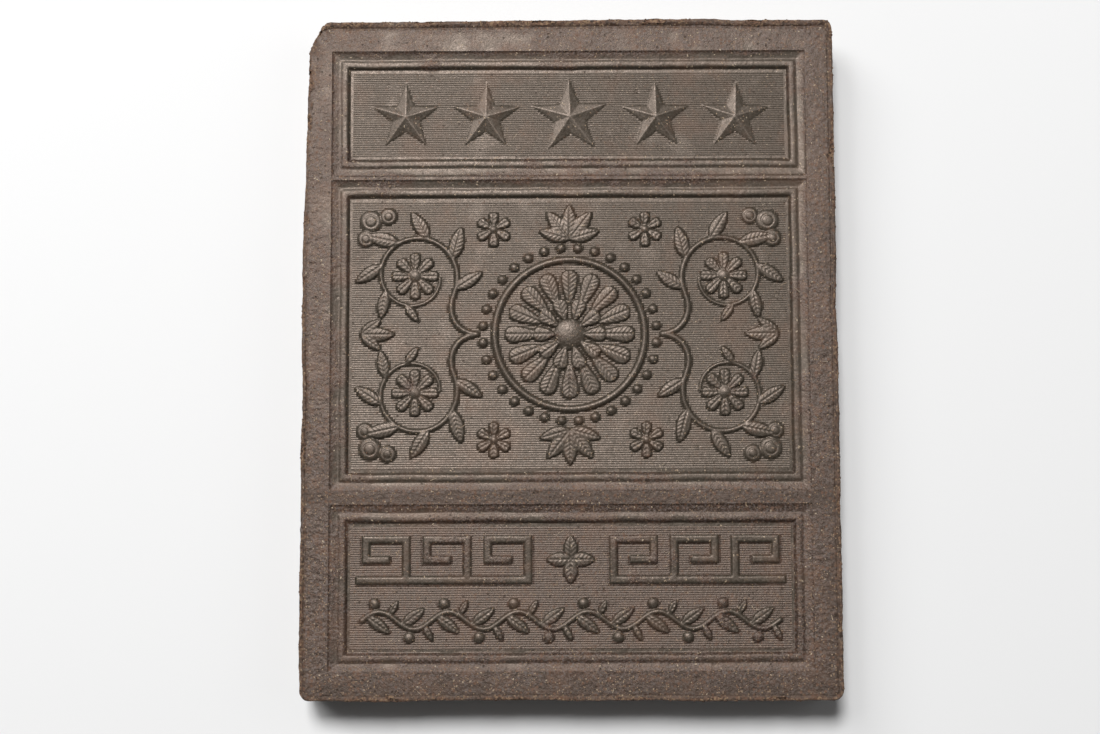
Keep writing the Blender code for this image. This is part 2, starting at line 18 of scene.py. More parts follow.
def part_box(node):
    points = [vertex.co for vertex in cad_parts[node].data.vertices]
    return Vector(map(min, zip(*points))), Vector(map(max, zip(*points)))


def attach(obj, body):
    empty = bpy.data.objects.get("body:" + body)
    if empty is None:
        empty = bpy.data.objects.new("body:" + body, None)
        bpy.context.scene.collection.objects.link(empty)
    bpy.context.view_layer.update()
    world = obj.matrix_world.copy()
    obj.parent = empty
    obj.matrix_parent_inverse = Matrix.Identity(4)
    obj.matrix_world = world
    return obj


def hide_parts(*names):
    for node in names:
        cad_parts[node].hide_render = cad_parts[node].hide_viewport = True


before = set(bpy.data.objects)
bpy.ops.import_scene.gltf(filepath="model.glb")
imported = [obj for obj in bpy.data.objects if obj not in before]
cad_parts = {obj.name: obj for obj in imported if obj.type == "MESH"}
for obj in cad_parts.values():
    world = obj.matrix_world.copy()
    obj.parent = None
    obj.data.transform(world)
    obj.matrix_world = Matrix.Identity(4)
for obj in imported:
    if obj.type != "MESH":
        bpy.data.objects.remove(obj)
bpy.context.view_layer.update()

bl_info = {
    "name": "Pressed tea brick",
    "version": (1, 0, 0),
    "blender": (4, 5, 0),
    "location": "View3D > Sidebar > Tea brick",
    "description": "Builds the skin of a moulded brick of black tea",
    "category": "Add Mesh",
}

MM = 0.001
LOW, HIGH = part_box("brick")
HALF_X = (HIGH.x - LOW.x) / 2
HALF_Y = (HIGH.y - LOW.y) / 2
TOP = HIGH.z

# ---------------------------------------------------------------- the face's plan
CORNER_RADIUS = 3.6 * MM
CORNER_POINTS = 12              # round each corner of the outline
# the moulding's section, from outside in: how far each step comes in, and how far it drops
SECTION = (
    (0.45 * MM, 0.40 * MM),
    (2.75 * MM, 0.47 * MM),
    (0.50 * MM, -0.42 * MM),
    (1.00 * MM, -0.04 * MM),
    (1.00 * MM, 0.06 * MM),
    (0.55 * MM, 0.85 * MM),
    (0.35 * MM, 0.18 * MM),
)
STEP_INSETS = np.cumsum([0.0] + [inset for inset, _ in SECTION])
STEP_DROPS = np.cumsum([0.0] + [drop for _, drop in SECTION])
CUT_WANDER = 0.07 * MM          # how far the mould's hand-cut lines wander
SOFT_CUT = 0.1 * MM             # how far the mouldings' corners are rounded
FRAME_SOFT = 0.6 * MM           # how wide the change is from one surface's traits to the next
BARE_BELOW = 0.03 * MM          # ground that rises no more than this is ruled

# ---------------------------------------------------------------- stars
STAR_RADIUS = 12.8 * MM
MIDDLE_STAR_RADIUS = 14.4 * MM
STARS_BELOW = 16.9 * MM         # from the upper edge of the ground to the stars' middles
STARS_AT = (-57.5 * MM, -29.2 * MM, 0.5 * MM, 30.8 * MM, 58.8 * MM)
STAR_WAIST = 0.42               # inner radius of a star as a share of its outer one
STAR_HEIGHT = 1.35 * MM
STAR_WALL = 0.16 * MM           # the low steep wall round a star's outline
STAR_TURNS = (0.0, -1.0, 2.0, 1.0, -1.5)      # degrees

# ---------------------------------------------------------------- rosette and scrolls
STEP = 0.74 * MM                # the steep wall round a leaf, a petal or a stroke
SOFT = 0.32 * MM                # how wide that wall is, seen from above
CROWN = 0.34 * MM               # how much a leaf's middle stands above its wall
MIDRIB = 0.2 * MM               # depth of the groove down a leaf's middle
MIDRIB_WIDTH = 0.3 * MM
VEIN_STEP = 1.5 * MM            # from one vein to the next
VEIN_DEPTH = 0.05 * MM
SEED_DOME = 5.6 * MM
DOME_RISE = 1.38 * MM
SEEDS = 60
SEED_SIZE = 0.42 * MM
SEED_RISE = 0.14 * MM           # how far the seeds stand out of their dome
DOME_LIFT = 0.15 * MM           # how far a small flower's middle stands above its petals
INNER_LIFT = 0.24 * MM          # how far the inner petals stand above the outer ones
INNER_PETALS = 10
INNER_REACH = (5.0 * MM, 12.6 * MM)
OUTER_PETALS = 16
OUTER_REACH = (10.5 * MM, 22.6 * MM)
PETAL_FULLNESS = 0.86
RING_RADIUS = 26.2 * MM
RING_THICKNESS = 1.3 * MM
BEADS = 32
BEAD_CIRCLE = 30.4 * MM
BEAD_RADIUS = 1.7 * MM
SCROLL_START = np.array((32.5, 0.0)) * MM
SCROLL_LEAD = np.array((7.5, 0.5)) * MM
SCROLL_RISE = 7.0 * MM
BLOSSOM_CENTRE = np.array((54.0, 20.5)) * MM
SCROLL_RADIUS = 15.0 * MM
SCROLL_CLOSING = 0.42
SCROLL_FROM = 205.0             # degrees
SCROLL_SWEEP = 380.0
STEM_RADIUS = 1.15 * MM
# each leaf's place along the scroll as a share of it, and its length in mm
SCROLL_LEAVES = ((0.02, 11.0), (0.13, 12.0), (0.25, 11.5), (0.37, 12.0), (0.49, 11.0),
                 (0.61, 10.0), (0.73, 7.5))
LEAF_SPREAD = 42.0              # degrees between a leaf and its stem
LEAF_WIDTH = 0.44               # share of a leaf's length
BLOSSOM_PETALS = 8
BLOSSOM_REACH = (1.2 * MM, 8.2 * MM)
BLOSSOM_PETAL_WIDTH = 5.0 * MM
BLOSSOM_DOME = 2.7 * MM
PALMETTE_FOOT = 33.4 * MM
# each leaf's turn in degrees from straight out, and its length in mm
PALMETTE_LEAVES = ((0.0, 12.4), (38.0, 12.6), (-38.0, 12.6), (74.0, 11.0), (-74.0, 11.0))
SPRIG_CENTRE = np.array((26.5, 37.0)) * MM
SPRIG_PETALS = 6
SPRIG_REACH = (0.8 * MM, 6.2 * MM)
SPRIG_PETAL_WIDTH = 4.6 * MM
SPRIG_DOME = 1.8 * MM
CLOUD_CENTRE = np.array((69.6, 40.0)) * MM
CLOUD_LOBES = ((0.0, 0.0, 4.0), (-6.2, 1.7, 3.1), (1.7, -6.2, 3.1))      # x, y, radius in mm
CLOUD_GROOVE = 0.22 * MM
CLOUD_GROOVE_WIDTH = 0.32 * MM
SIDE_BUD = np.array((73.0, 0.0)) * MM
SIDE_BUD_LEAVES = ((180.0, 12.0), (143.0, 9.0), (-143.0, 9.0))

# ---------------------------------------------------------------- the two lower bands
FRET_STEP = 7.0 * MM
FRET_STROKE = 3.0 * MM
FRET_UNITS = 3                  # keys on each side of the lozenge
FRET_CORNERS = ((0, 0), (0, 2), (2, 2), (2, 1), (1, 1))     # of one key, in steps
FRET_MIDDLE = 9.6 * MM          # above the middle of the lower panel
FRET_GAP = 6.3 * MM             # from the lozenge to the first key
FRET_END_LESS = 0.7             # how far the base line stops short of a whole key, in steps
LOZENGE = 8.4 * MM              # length of each of its four leaves
LOZENGE_WIDTH = 0.6             # share of that length
VINE_MIDDLE = -11.2 * MM        # above the middle of the lower panel
VINE_WAVES = 6
VINE_LENGTH = 144 * MM
VINE_SWING = 3.0 * MM
VINE_STEM = 1.05 * MM
VINE_LEAF = 9.6 * MM
VINE_TWIG = 6.0 * MM            # length of the smaller leaf in each bend
# where each leaf and berry stands in a bend, as a share of it, and a leaf's turn in degrees
VINE_LEAF_AT = (0.16, -36.0)
VINE_TWIG_AT = (0.80, 62.0)
VINE_BERRY_AT = 0.36
VINE_BERRY = 2.0 * MM
VINE_BERRY_OUT = 3.1 * MM       # from the stem to the berry's middle

# ---------------------------------------------------------------- edge, sides and back
FIN_HEIGHT = 0.26 * MM          # the ragged fin pressed up round the face
FIN_INSET = 0.75 * MM           # insets run from the outline towards the middle of the face
FIN_WIDTH = 0.5 * MM
CREASE_DEPTH = 0.26 * MM        # the crease between the fin and the border
CREASE_INSET = 1.75 * MM
CREASE_WIDTH = 0.26 * MM
UPPER_FRINGE = 1.45             # how much wider the fin is along the upper edge
FIN_LEAN = 0.9 * MM             # how far it leans out over the upper side, at the right end
WORN_STRETCH = 34 * MM          # how far the left edge is worn down from its upper corner
WORN_WIDTH = 4.5 * MM
CLEAN_SIDE = (-15 * MM, 55 * MM)        # up this stretch of the left side the fin fades away
LOST_WHERE_CLEAN = 0.85         # the share of fin and crease that is gone above that stretch
FIN_LOST_AT_FOOT = 0.75
CREASE_LOST_AT_FOOT = 0.6
EDGE_INSET = 0.6 * MM           # the rounded edge outside the fin
EDGE_DROP = 0.9 * MM
EDGE_STEEP = 80                 # degrees, at its foot
SIDE_GAP = 0.2 * MM             # from there to the first row of the side
LOWER_EDGE= 1.0 * MM           # the rounded edge round the back
LOWER_EDGE_ROWS = 5
BACK_ROWS = (1.8 * MM, 2.7 * MM, 3.5 * MM)      # insets of the rows on the back
RIM_ROWS = (3.1, 2.8, 2.5, 2.2, 1.95, 1.7, 1.45, 1.2, 1.0, 0.8, 0.6, 0.42, 0.26, 0.13, 0.04)
RIM_FROM = 3.4 * MM             # the rows above lie outside this; they are in mm
ROW_STEP = 0.55 * MM            # between rows, in the band's random fields
WAVER = 0.4 * MM                # how far the outline wanders in
FRINGE_WIDTH = 1.5 * MM         # the crumbly strip along the edge
SIDE_SUNK = 0.06 * MM           # the sides lie this far in, so that their grains stay in the box
WORN_CORNER_REACH = (8.2 * MM, 13.4 * MM)
WORN_CORNER_LEAN = 14.0         # degrees
WORN_SIDE = 1.5 * MM            # the left side is worn in too, most at its upper end
WORN_SIDE_FROM = 25 * MM        # above the middle
WORN_SIDE_RISE = 75 * MM        # from there to its full depth
CHIPS_AT = {                    # mm from the middle of each side, as on the solid
    "left": (98.0, 84.0, 49.0, 26.0, 12.0, -34.0, -88.0),
    "right": (71.0, 17.0, -52.0, -93.0),
    "top": (-52.0, -9.0, 31.0, 66.0),
    "bottom": (-61.0, -18.0, 24.0, 70.0),
}
CHIP_SIZE = (1.3, 2.4)          # mm
CHIP_SPREAD = (1.2, 2.6)        # how much longer than deep a chip is
CHIP_SEED = 5
CHIP_RAGGED = 0.16              # how uneven a chip is, as a share of its size
BREAK_DEPTH = 0.4 * MM          # tea worn off to this depth is wholly without its skin
PADS = 4                        # each way across the back, with a score between any two
SCORE_SLOPE = 0.5
SCORE_DEPTHS = (1.2 * MM, 1.3 * MM)     # of the scores up the brick, and of those across it
SCORE_POINTS = 9                # across each score
SCORE_REACH = 2.8 * MM          # from a score's middle to the last of them
SCORE_CLEAR = 3.2 * MM          # and to the next point of the plain grid
BACK_INSET = 4.4 * MM
BACK_POLISH = 0.35
BACK_BROKEN = 0.12

# ---------------------------------------------------------------- polish and grain
POLISH = 0.77                   # of the border; 0 is crumbly and 1 is glossy
# polish is less to the right, at the foot, on the lower rail and in the lower panel; the dullest
# places are also darkened in colour: painted shade
LESS_RIGHT, LESS_FOOT, LESS_RAIL, LESS_LOWER = 0.27, 0.32, 0.4, 0.08
MORE_INSIDE = 0.1               # in the mouldings, and as much again in the grounds
LOWER_RAIL = (-49.4 * MM, 3.2 * MM)     # middle and width of the dull lower rail
GRIT = 0.045 * MM               # how coarse the pressed tea is, in height
PIT_DEPTH = 0.1 * MM
BUMP = 0.17 * MM                # height of the material's finest grain
RIB_SUNK = 0.00002              # how far a rib's foot lies under the ground
RIB_SHAKE = 0.00022             # how far the ribs waver up and down the face
STALK_THICKNESS = 0.11 * MM
STALK_BEND = (0.0006, 0.0006, 0.0)
SPLINE_SPREAD = 0.48            # how far a random field strays before it is scaled
# each layer of a random field: how strong it is, how far its bumps are apart, and its seed
POLISH_PATCHES = ((0.03, 11 * MM, 21), (0.04, 3.5 * MM, 22))
GRAINS = ((0.8, 0.55 * MM, 31), (0.3, 1.5 * MM, 32))
SWELLS = ((0.010 * MM, 9 * MM, 33), (0.04 * MM, 35 * MM, 34))
EDGE_GRAINS = ((0.05 * MM, 0.9 * MM, 53), (0.05 * MM, 2.2 * MM, 54))
BREAK_GRAINS = ((0.3 * MM, 1.6 * MM, 57), (0.12 * MM, 0.7 * MM, 58))
BACK_GRAINS = ((0.05 * MM, 2.6 * MM, 61), (0.09 * MM, 11 * MM, 62))
# the other random fields of the edge band: how far their bumps are apart, and their seeds
BAND_FIELDS = {"fin": (6 * MM, 51), "waver": (14 * MM, 52), "fringe": (2.5 * MM, 55),
               "sides": (5 * MM, 56), "chips": (1.4 * MM, 59), "crumbled": (1.8 * MM, 60)}

# ---------------------------------------------------------------- stage
FLOOR_SIZE = 8.0
FLOOR_GAP = 0.2 * MM            # between the floor and the brick
AIM = (-6.91 * MM, -4.1 * MM, TOP)
SENSOR = 36.0                   # width, in mm
# each softbox's size and distance in metres, and its lean and turn in degrees
SOFTBOXES = {
    "key": ((0.74, 0.8), 3.2, 24, -15),
    "window": ((0.6, 0.4), 2.0, 30, -50),
    "rake": ((0.6, 0.6), 1.3, 50, -42),
    "fill": ((0.8, 0.8), 1.3, 45, 80),
}


# ---------------------------------------------------------------- what a user would change
def length(name, default, description):
    return FloatProperty(name=name, description=description, default=default, min=0.0,
                         unit="LENGTH", subtype="DISTANCE", precision=5)


def colour(name, default, description):
    return FloatVectorProperty(name=name, description=description, default=default, size=3,
                               min=0.0, max=1.0, subtype="COLOR")


def amount(name, default, description, top=1.0):
    return FloatProperty(name=name, description=description, default=default, min=0.0, max=top)


class FacePlan(bpy.types.PropertyGroup):
    """How the moulded face is laid out, and how finely its sheets are divided."""

    border_top: length("Top border", 10.7 * MM, "Flat border above the star panel")
    border_side: length("Side border", 9.9 * MM, "Flat border left and right")
    moulding: length("Moulding", 6.6 * MM, "Width of the moulding round each panel")
    star_panel: length("Star panel", 31.9 * MM, "Height of the upper sunk ground")
    picture_panel: length("Picture panel", 96.1 * MM, "Height of the middle sunk ground")
    lower_panel: length("Lower panel", 44.2 * MM, "Height of the lower sunk ground")
    upper_rail: length("Upper rail", 1.0 * MM, "Flat strip under the star panel")
    lower_rail: length("Lower rail", 4.5 * MM, "Flat strip under the picture panel")
    cell: length("Cell", 0.31 * MM, "Distance between the sheets' points in the panels")
    moulding_cell: length("Moulding cell", 0.5 * MM, "The same across a moulding and the border")
    side_cell: length("Side cell", 1.2 * MM, "Distance between the rows down the sides")
    back_cell: length("Back cell", 2.0 * MM, "Distance between the points of the back")


class Ruling(bpy.types.PropertyGroup):
    """The fine level ribs that the mould's ruled ground leaves between the ornament."""

    pitch: length("Pitch", 0.79 * MM, "From one rib to the next")
    width: length("Width", 0.76 * MM, "Width of a rib at its foot")
    height: length("Height", 0.105 * MM, "Height of a rib")
    lean: length("Lean", 0.12 * MM, "How far a rib's crest lies below the rib's middle")
    margin: length("Margin", 0.9 * MM, "Unruled strip inside the moulding")
    segment: length("Segment", 0.8 * MM, "Distance between a rib's points")
    polish: amount("Polish", 0.9, "Polish of the ribs")
    lower_polish: amount("Lower polish", 0.81, "Polish of the lower panel's ribs")
    fading: amount("Fading", 0.4, "How far the ribs fade in their worn patches")
    seed: IntProperty(name="Seed", description="Changes where the ribs fade", default=3)


class Specks(bpy.types.PropertyGroup):
    """Flecks and stalks of tea in the face, and crumbs along the broken edges."""

    flecks: amount("Flecks", 0.11, "Flecks to a square millimetre", top=2.0)
    fleck_size: length("Fleck size", 0.17 * MM, "Half the length of a usual fleck")
    stalks: amount("Stalks", 0.0035, "Stalks to a square millimetre", top=1.0)
    stalk_length: length("Stalk length", 1.9 * MM, "Length of a usual stalk")
    crumbs: amount("Crumbs", 0.3, "Crumbs to a square millimetre of broken edge", top=5.0)
    crumb_size: length("Crumb size", 0.27 * MM, "Radius of a usual crumb")
    seed: IntProperty(name="Seed", description="Changes where everything lies", default=11)


class TeaFinish(bpy.types.PropertyGroup):
    """The colours of the tea, and how the pressing has polished it."""

    skin: colour("Skin", (0.044, 0.037, 0.027), "Pressed tea in the panels")
    border_skin: colour("Border skin", (0.077, 0.042, 0.032), "The redder tea of the border")
    film: colour("Film", (0.115, 0.104, 0.100), "Grey film where the skin is rubbed")
    # Besides dark grains and pores, this colour is laid over the duller skin as painted shade.
    deep_and_shade: colour("Deep", (0.021, 0.014, 0.010), "Dark grains and pores")
    tan: colour("Tan", (0.26, 0.175, 0.105), "Tan flecks")
    cream: colour("Cream", (0.42, 0.33, 0.23), "The few cream flecks")
    rust: colour("Rust", (0.105, 0.054, 0.033), "Rusty grains and patches")
    broken: colour("Broken", (0.130, 0.080, 0.056), "Tea where the skin has crumbled away")
    roughness: amount("Roughness", 0.41, "Roughness of the polished skin")
    sheen: amount("Sheen", 0.5, "How strongly the polished skin reflects the light")
    sheen_tint: colour("Sheen tint", (1.0, 0.81, 0.69), "Colour of that reflection")


class StageLook(bpy.types.PropertyGroup):
    """The floor, the lights and the camera."""

    floor: colour("Floor", (0.70, 0.70, 0.70), "Plain pale floor")
    sky: amount("Sky", 0.070, "Strength of the even light from all round", top=5.0)
    key: amount("Key", 96.0, "Power of the main softbox, in watts", top=500.0)
    window: amount("Window", 6.0, "Power of the softbox beside it, to the left", top=500.0)
    rake: amount("Rake", 5.5, "Power of the low light from the upper left", top=500.0)
    fill: amount("Fill", 1.2, "Power of the low light from the right", top=500.0)
    distance: length("Distance", 0.6, "From the camera to the face")
    tilt: FloatProperty(name="Tilt", description="How far the camera leans from straight above",
                        default=math.radians(5.3), subtype="ANGLE")
    roll: FloatProperty(name="Roll", description="How far the camera is turned about its view",
                        default=math.radians(0.2), subtype="ANGLE")
    lens: FloatProperty(name="Lens", description="Focal length in millimetres", default=56.44,
                        min=10.0, unit="CAMERA")


def settings(name):
    return getattr(bpy.context.scene, name)


# ---------------------------------------------------------------- fields of numbers
def smooth(share):
    share = np.clip(share, 0.0, 1.0)
    return share * share * (3 - 2 * share)


def hump(distance, width):
    return np.exp(-(distance / width) ** 2)


def wander(x, y, cell, seed, around=None):
    """A smooth random field of about unit size at the places, with bumps about a cell across.

    Where around is given, x runs round a loop of that length, and the field closes on itself.
    """
    first_x, first_y = np.min(x), np.min(y)
    count_x = int(np.ptp(x) / cell) + 5
    count_y = int(np.ptp(y) / cell) + 5
    across = (x - first_x) / cell
    if around:
        count_x = max(4, round(around / cell))
        across = x / around * count_x
    up = (y - first_y) / cell
    lattice = np.random.default_rng(seed).standard_normal((count_y, count_x))
    column = np.floor(across).astype(int)
    row = np.floor(up).astype(int)
    total = 0.0
    for j, weight_y in enumerate(spline_weights(up - row)):
        line = 0.0
        for i, weight_x in enumerate(spline_weights(across - column)):
            line = line + weight_x * lattice[row + j, (column + i) % count_x]
        total = total + weight_y * line
    return total / SPLINE_SPREAD


def spline_weights(t):
    """The four weights of a smooth cubic spline at a share of its cell."""
    return ((1 - t) ** 3 / 6, (3 * t ** 3 - 6 * t ** 2 + 4) / 6,
            (-3 * t ** 3 + 3 * t ** 2 + 3 * t + 1) / 6, t ** 3 / 6)


def layered(x, y, layers):
    """Several random fields added up."""
    return sum(strength * wander(x, y, cell, seed) for strength, cell, seed in layers)


def heading(angle):
    return np.array((math.cos(angle), math.sin(angle)))


def spaced(start, stop, step):
    """Places from start to just short of stop, about a step apart."""
    count = max(1, math.ceil(abs(stop - start) / step - 0.01))
    return list(np.linspace(start, stop, count, endpoint=False))


# ---------------------------------------------------------------- shapes of the ornament
def star_relief(x, y, radius):
    """Ten flat facets that rise from the star's outline to its middle."""
    folded = np.abs((np.arctan2(x, y) + math.pi / 5) % (math.tau / 5) - math.pi / 5)
    away = np.hypot(x, y)
    tip = np.array((radius, 0.0))
    edge = heading(math.pi / 5) * radius * STAR_WAIST - tip
    normal = np.array((edge[1], -edge[0])) / math.hypot(*edge)
    reach = normal @ tip
    inside = reach - away * (np.cos(folded) * normal[0] + np.sin(folded) * normal[1])
    wall = STAR_WALL * smooth(inside / SOFT)
    return wall + (STAR_HEIGHT - STAR_WALL) * np.clip(inside / reach, 0, 1)


def leaf_relief(along, across, size, width, blunt):
    """A leaf, or with blunt a round-ended petal: steep wall, low crown, midrib and veins."""
    share = np.clip(along / size, 0.0, 1.0)
    if blunt:
        half = width / 2 * np.sqrt(share * (1 - share ** 7))
    else:
        half = width / 2 * (4 * share * (1 - share)) ** 0.72 * (1.14 - 0.28 * share)
    inside = half - np.abs(across)
    wall = smooth(inside / SOFT)
    crown = CROWN * np.clip(inside / (width / 2), 0, 1) ** (0.5 if blunt else 0.6)
    rib = MIDRIB * hump(across, MIDRIB_WIDTH) * smooth(inside / SOFT - 0.6)
    veins = VEIN_DEPTH * np.cos(math.tau * (along - 0.8 * np.abs(across)) / VEIN_STEP)
    return (STEP + veins) * wall + crown * wall - rib


def dome_relief(away, radius, height):
    return height * np.sqrt(np.clip(1 - (away / radius) ** 2, 0, 1))


def line_distance(x, y, points):
    """How far each place is from a line through the points, and how far along it lies."""
    nearest = np.full(np.shape(x), 1.0)
    share = np.zeros(np.shape(x))
    for index, (start, end) in enumerate(zip(points, points[1:])):
        way = end - start
        along = np.clip(((x - start[0]) * way[0] + (y - start[1]) * way[1]) / (way @ way), 0, 1)
        away = np.hypot(x - start[0] - along * way[0], y - start[1] - along * way[1])
        closer = away < nearest
        nearest = np.where(closer, away, nearest)
        share = np.where(closer, (index + along) / (len(points) - 1), share)
    return nearest, share


def scroll_point(share):
    angle = math.radians(SCROLL_FROM - SCROLL_SWEEP * share)
    radius = SCROLL_RADIUS * (1 - SCROLL_CLOSING * max(share, 0.0) ** 1.2)
    return BLOSSOM_CENTRE + heading(angle) * radius


def scroll_way(share):
    step = scroll_point(share + 0.01) - scroll_point(share - 0.01)
    return step / math.hypot(*step)


def scroll_line(lead_points=8, turn_points=40):
    """From the medallion's side up and over the blossom, and in round it."""
    end = scroll_point(0)
    before = end - scroll_way(0) * SCROLL_RISE
    after = SCROLL_START + SCROLL_LEAD
    line = []
    for t in np.linspace(0, 1, lead_points, endpoint=False):
        s = 1 - t
        line.append(SCROLL_START * s ** 3 + after * 3 * s * s * t
                    + before * 3 * s * t * t + end * t ** 3)
    return line + [scroll_point(share) for share in np.linspace(0, 1, turn_points)]


def vine_point(share):
    return np.array(((share - 0.5) * VINE_LENGTH,
                     VINE_SWING * math.sin(math.tau * VINE_WAVES * share)))


class Field:
    """The heights of the ornament over the grid of the face; each form is pressed into them."""

    def __init__(self, xs, ys):
        self.xs = xs
        self.ys = ys
        self.rise = np.zeros((len(ys), len(xs)))

    def near(self, middle, reach):
        """The part of the grid round a place, and its coordinates from there."""
        cut_x = slice(*np.searchsorted(self.xs, (middle[0] - reach, middle[0] + reach)))
        cut_y = slice(*np.searchsorted(self.ys, (middle[1] - reach, middle[1] + reach)))
        x, y = np.meshgrid(self.xs[cut_x] - middle[0], self.ys[cut_y] - middle[1])
        return (cut_y, cut_x), x, y

    def press(self, part, height):
        self.rise[part] = np.maximum(self.rise[part], height)

    def star(self, middle, radius, turn):
        part, x, y = self.near(middle, radius * 1.1)
        c, s = heading(math.radians(turn))
        self.press(part, star_relief(c * x + s * y, c * y - s * x, radius))

    def leaf(self, foot, angle, size, width=None, blunt=False, lift=0.0):
        part, x, y = self.near(foot, size * 1.05)
        c, s = heading(angle)
        width = width or size * LEAF_WIDTH
        height = leaf_relief(c * x + s * y, c * y - s * x, size, width, blunt)
        self.press(part, height + lift * (height > 0.3 * STEP))

    def dome(self, middle, radius, height=STEP + CROWN):
        part, x, y = self.near(middle, radius * 1.1)
        self.press(part, dome_relief(np.hypot(x, y), radius, height))

    def flower(self, middle, petals, reach, width=None, dome=0.0, first=0.0, lift=0.0):
        width = width or PETAL_FULLNESS * math.tau * reach[1] / petals
        for angle in first + math.tau * np.arange(petals) / petals:
            self.leaf(middle + heading(angle) * reach[0], angle, reach[1] - reach[0], width,
                      blunt=True, lift=lift)
        if dome:
            self.dome(middle, dome, STEP + CROWN + DOME_LIFT)

    def stem(self, points, radius, thin_end=0.55):
        points = [np.asarray(point) for point in points]
        middle = sum(points) / len(points)
        reach = max(np.abs(point - middle).max() for point in points) + 2 * radius
        part, x, y = self.near(middle, reach)
        away, share = line_distance(x, y, [point - middle for point in points])
        here = radius * (1 - (1 - thin_end) * share)
        self.press(part, dome_relief(away, here, here * 0.85))

    def stroke(self, points, width):
        """A square-cornered stroke along the points, with steep walls and a soft top."""
        middle = sum(points) / len(points)
        reach = max(np.abs(point - middle).max() for point in points) + width
        part, x, y = self.near(middle, reach)
        inside = np.full(x.shape, -1.0)
        for start, end in zip(points, points[1:]):
            way = (end - start) / math.hypot(*(end - start))
            from_x, from_y = x - (start - middle)[0], y - (start - middle)[1]
            along = from_x * way[0] + from_y * way[1]
            across = np.abs(from_y * way[0] - from_x * way[1])
            ends = np.minimum(along, math.hypot(*(end - start)) - along) + width / 2
            inside = np.maximum(inside, np.minimum(width / 2 - across, ends))
        crown = 0.6 * CROWN * smooth(inside / (width / 3))
        self.press(part, STEP * smooth(inside / SOFT) + crown * (inside > 0))


# ---------------------------------------------------------------- the moulded face
def panels():
    """The sunk grounds, top to bottom: name, lower edge and upper edge."""
    plan = settings("tea_face")
    top = HALF_Y - plan.border_top - plan.moulding
    found = []
    for name, height, rail in (("star", plan.star_panel, plan.upper_rail),
                               ("picture", plan.picture_panel, plan.lower_rail),
                               ("lower", plan.lower_panel, 0.0)):
        found.append((name, top - height, top))
        top -= height + 2 * plan.moulding + rail
    return found


def moulding_places():
    """Insets across a moulding where the sheets need points."""
    places = []
    for start, stop in zip(STEP_INSETS, STEP_INSETS[1:]):
        places += spaced(start, stop, settings("tea_face").moulding_cell)
    return places


def section_drop(inset):
    """How far a moulding lies below the border at an inset, with its corners rounded."""
    total = 2 * np.interp(inset, STEP_INSETS, STEP_DROPS)
    for shift in (-SOFT_CUT, SOFT_CUT):
        total = total + np.interp(inset + shift, STEP_INSETS, STEP_DROPS)
    return total / 4


def grid_lines():
    """The places along X and along Y where the face's grid has its points."""
    plan = settings("tea_face")
    wide = plan.moulding
    across = moulding_places()
    half = HALF_X - plan.border_side
    xs = [-half + place for place in across]
    xs += spaced(-half + wide, half - wide, plan.cell)
    xs += [half - place for place in [wide] + across[:0:-1]] + [half]
    ys = []
    for _, bottom, top in reversed(panels()):
        if ys:
            ys += spaced(below, bottom - wide, plan.cell)
        ys += [bottom - wide + place for place in across]
        ys += spaced(bottom, top, plan.cell)
        ys += [top + wide - place for place in [wide] + across[:0:-1]]
        below = top + wide
    return np.array(xs), np.array(ys + [below])


def press_stars(field, top):
    for index, x in enumerate(STARS_AT):
        radius = MIDDLE_STAR_RADIUS if index == 2 else STAR_RADIUS
        field.star((x, top - STARS_BELOW), radius, STAR_TURNS[index])


def press_medallion(field, middle):
    field.flower(middle, OUTER_PETALS, OUTER_REACH)
    field.flower(middle, INNER_PETALS, INNER_REACH, lift=INNER_LIFT)
    field.dome(middle, SEED_DOME, DOME_RISE)
    for index in range(1, SEEDS):
        turn = index * math.pi * (3 - math.sqrt(5))
        away = SEED_DOME * 0.9 * math.sqrt(index / SEEDS)
        rise = dome_relief(away, SEED_DOME, DOME_RISE) + SEED_RISE
        field.dome(middle + heading(turn) * away, SEED_SIZE, rise)
    part, x, y = field.near(middle, RING_RADIUS + 2 * RING_THICKNESS)
    away = np.abs(np.hypot(x, y) - RING_RADIUS)
    field.press(part, dome_relief(away, RING_THICKNESS, RING_THICKNESS * 0.85))
    for index in range(BEADS):
        turn = math.tau * (index + 0.5) / BEADS
        field.dome(middle + heading(turn) * BEAD_CIRCLE, BEAD_RADIUS, BEAD_RADIUS * 0.62)


def press_quarter(field, middle, signs):
    """One of the four scrolls, with its leaves and blossom, a sprig and a corner cloud."""
    field.stem([middle + point * signs for point in scroll_line()], STEM_RADIUS)
    for share, size in SCROLL_LEAVES:
        way = scroll_way(share)
        c, s = heading(math.radians(LEAF_SPREAD))
        aim = np.array((way[0] * c - way[1] * s, way[0] * s + way[1] * c)) * signs
        field.leaf(middle + scroll_point(share) * signs, math.atan2(aim[1], aim[0]), size * MM)
    field.flower(middle + BLOSSOM_CENTRE * signs, BLOSSOM_PETALS, BLOSSOM_REACH,
                 BLOSSOM_PETAL_WIDTH, BLOSSOM_DOME)
    field.flower(middle + SPRIG_CENTRE * signs, SPRIG_PETALS, SPRIG_REACH, SPRIG_PETAL_WIDTH,
                 SPRIG_DOME, first=math.pi / 2)
    for *lobe, radius in CLOUD_LOBES:
        radius *= MM
        spot = middle + (CLOUD_CENTRE + np.array(lobe) * MM) * signs
        part, x, y = field.near(spot, radius * 1.1)
        away = np.hypot(x, y)
        groove = CLOUD_GROOVE * hump(away - radius * 0.52, CLOUD_GROOVE_WIDTH)
        field.press(part, dome_relief(away, radius, STEP + CROWN) - groove)


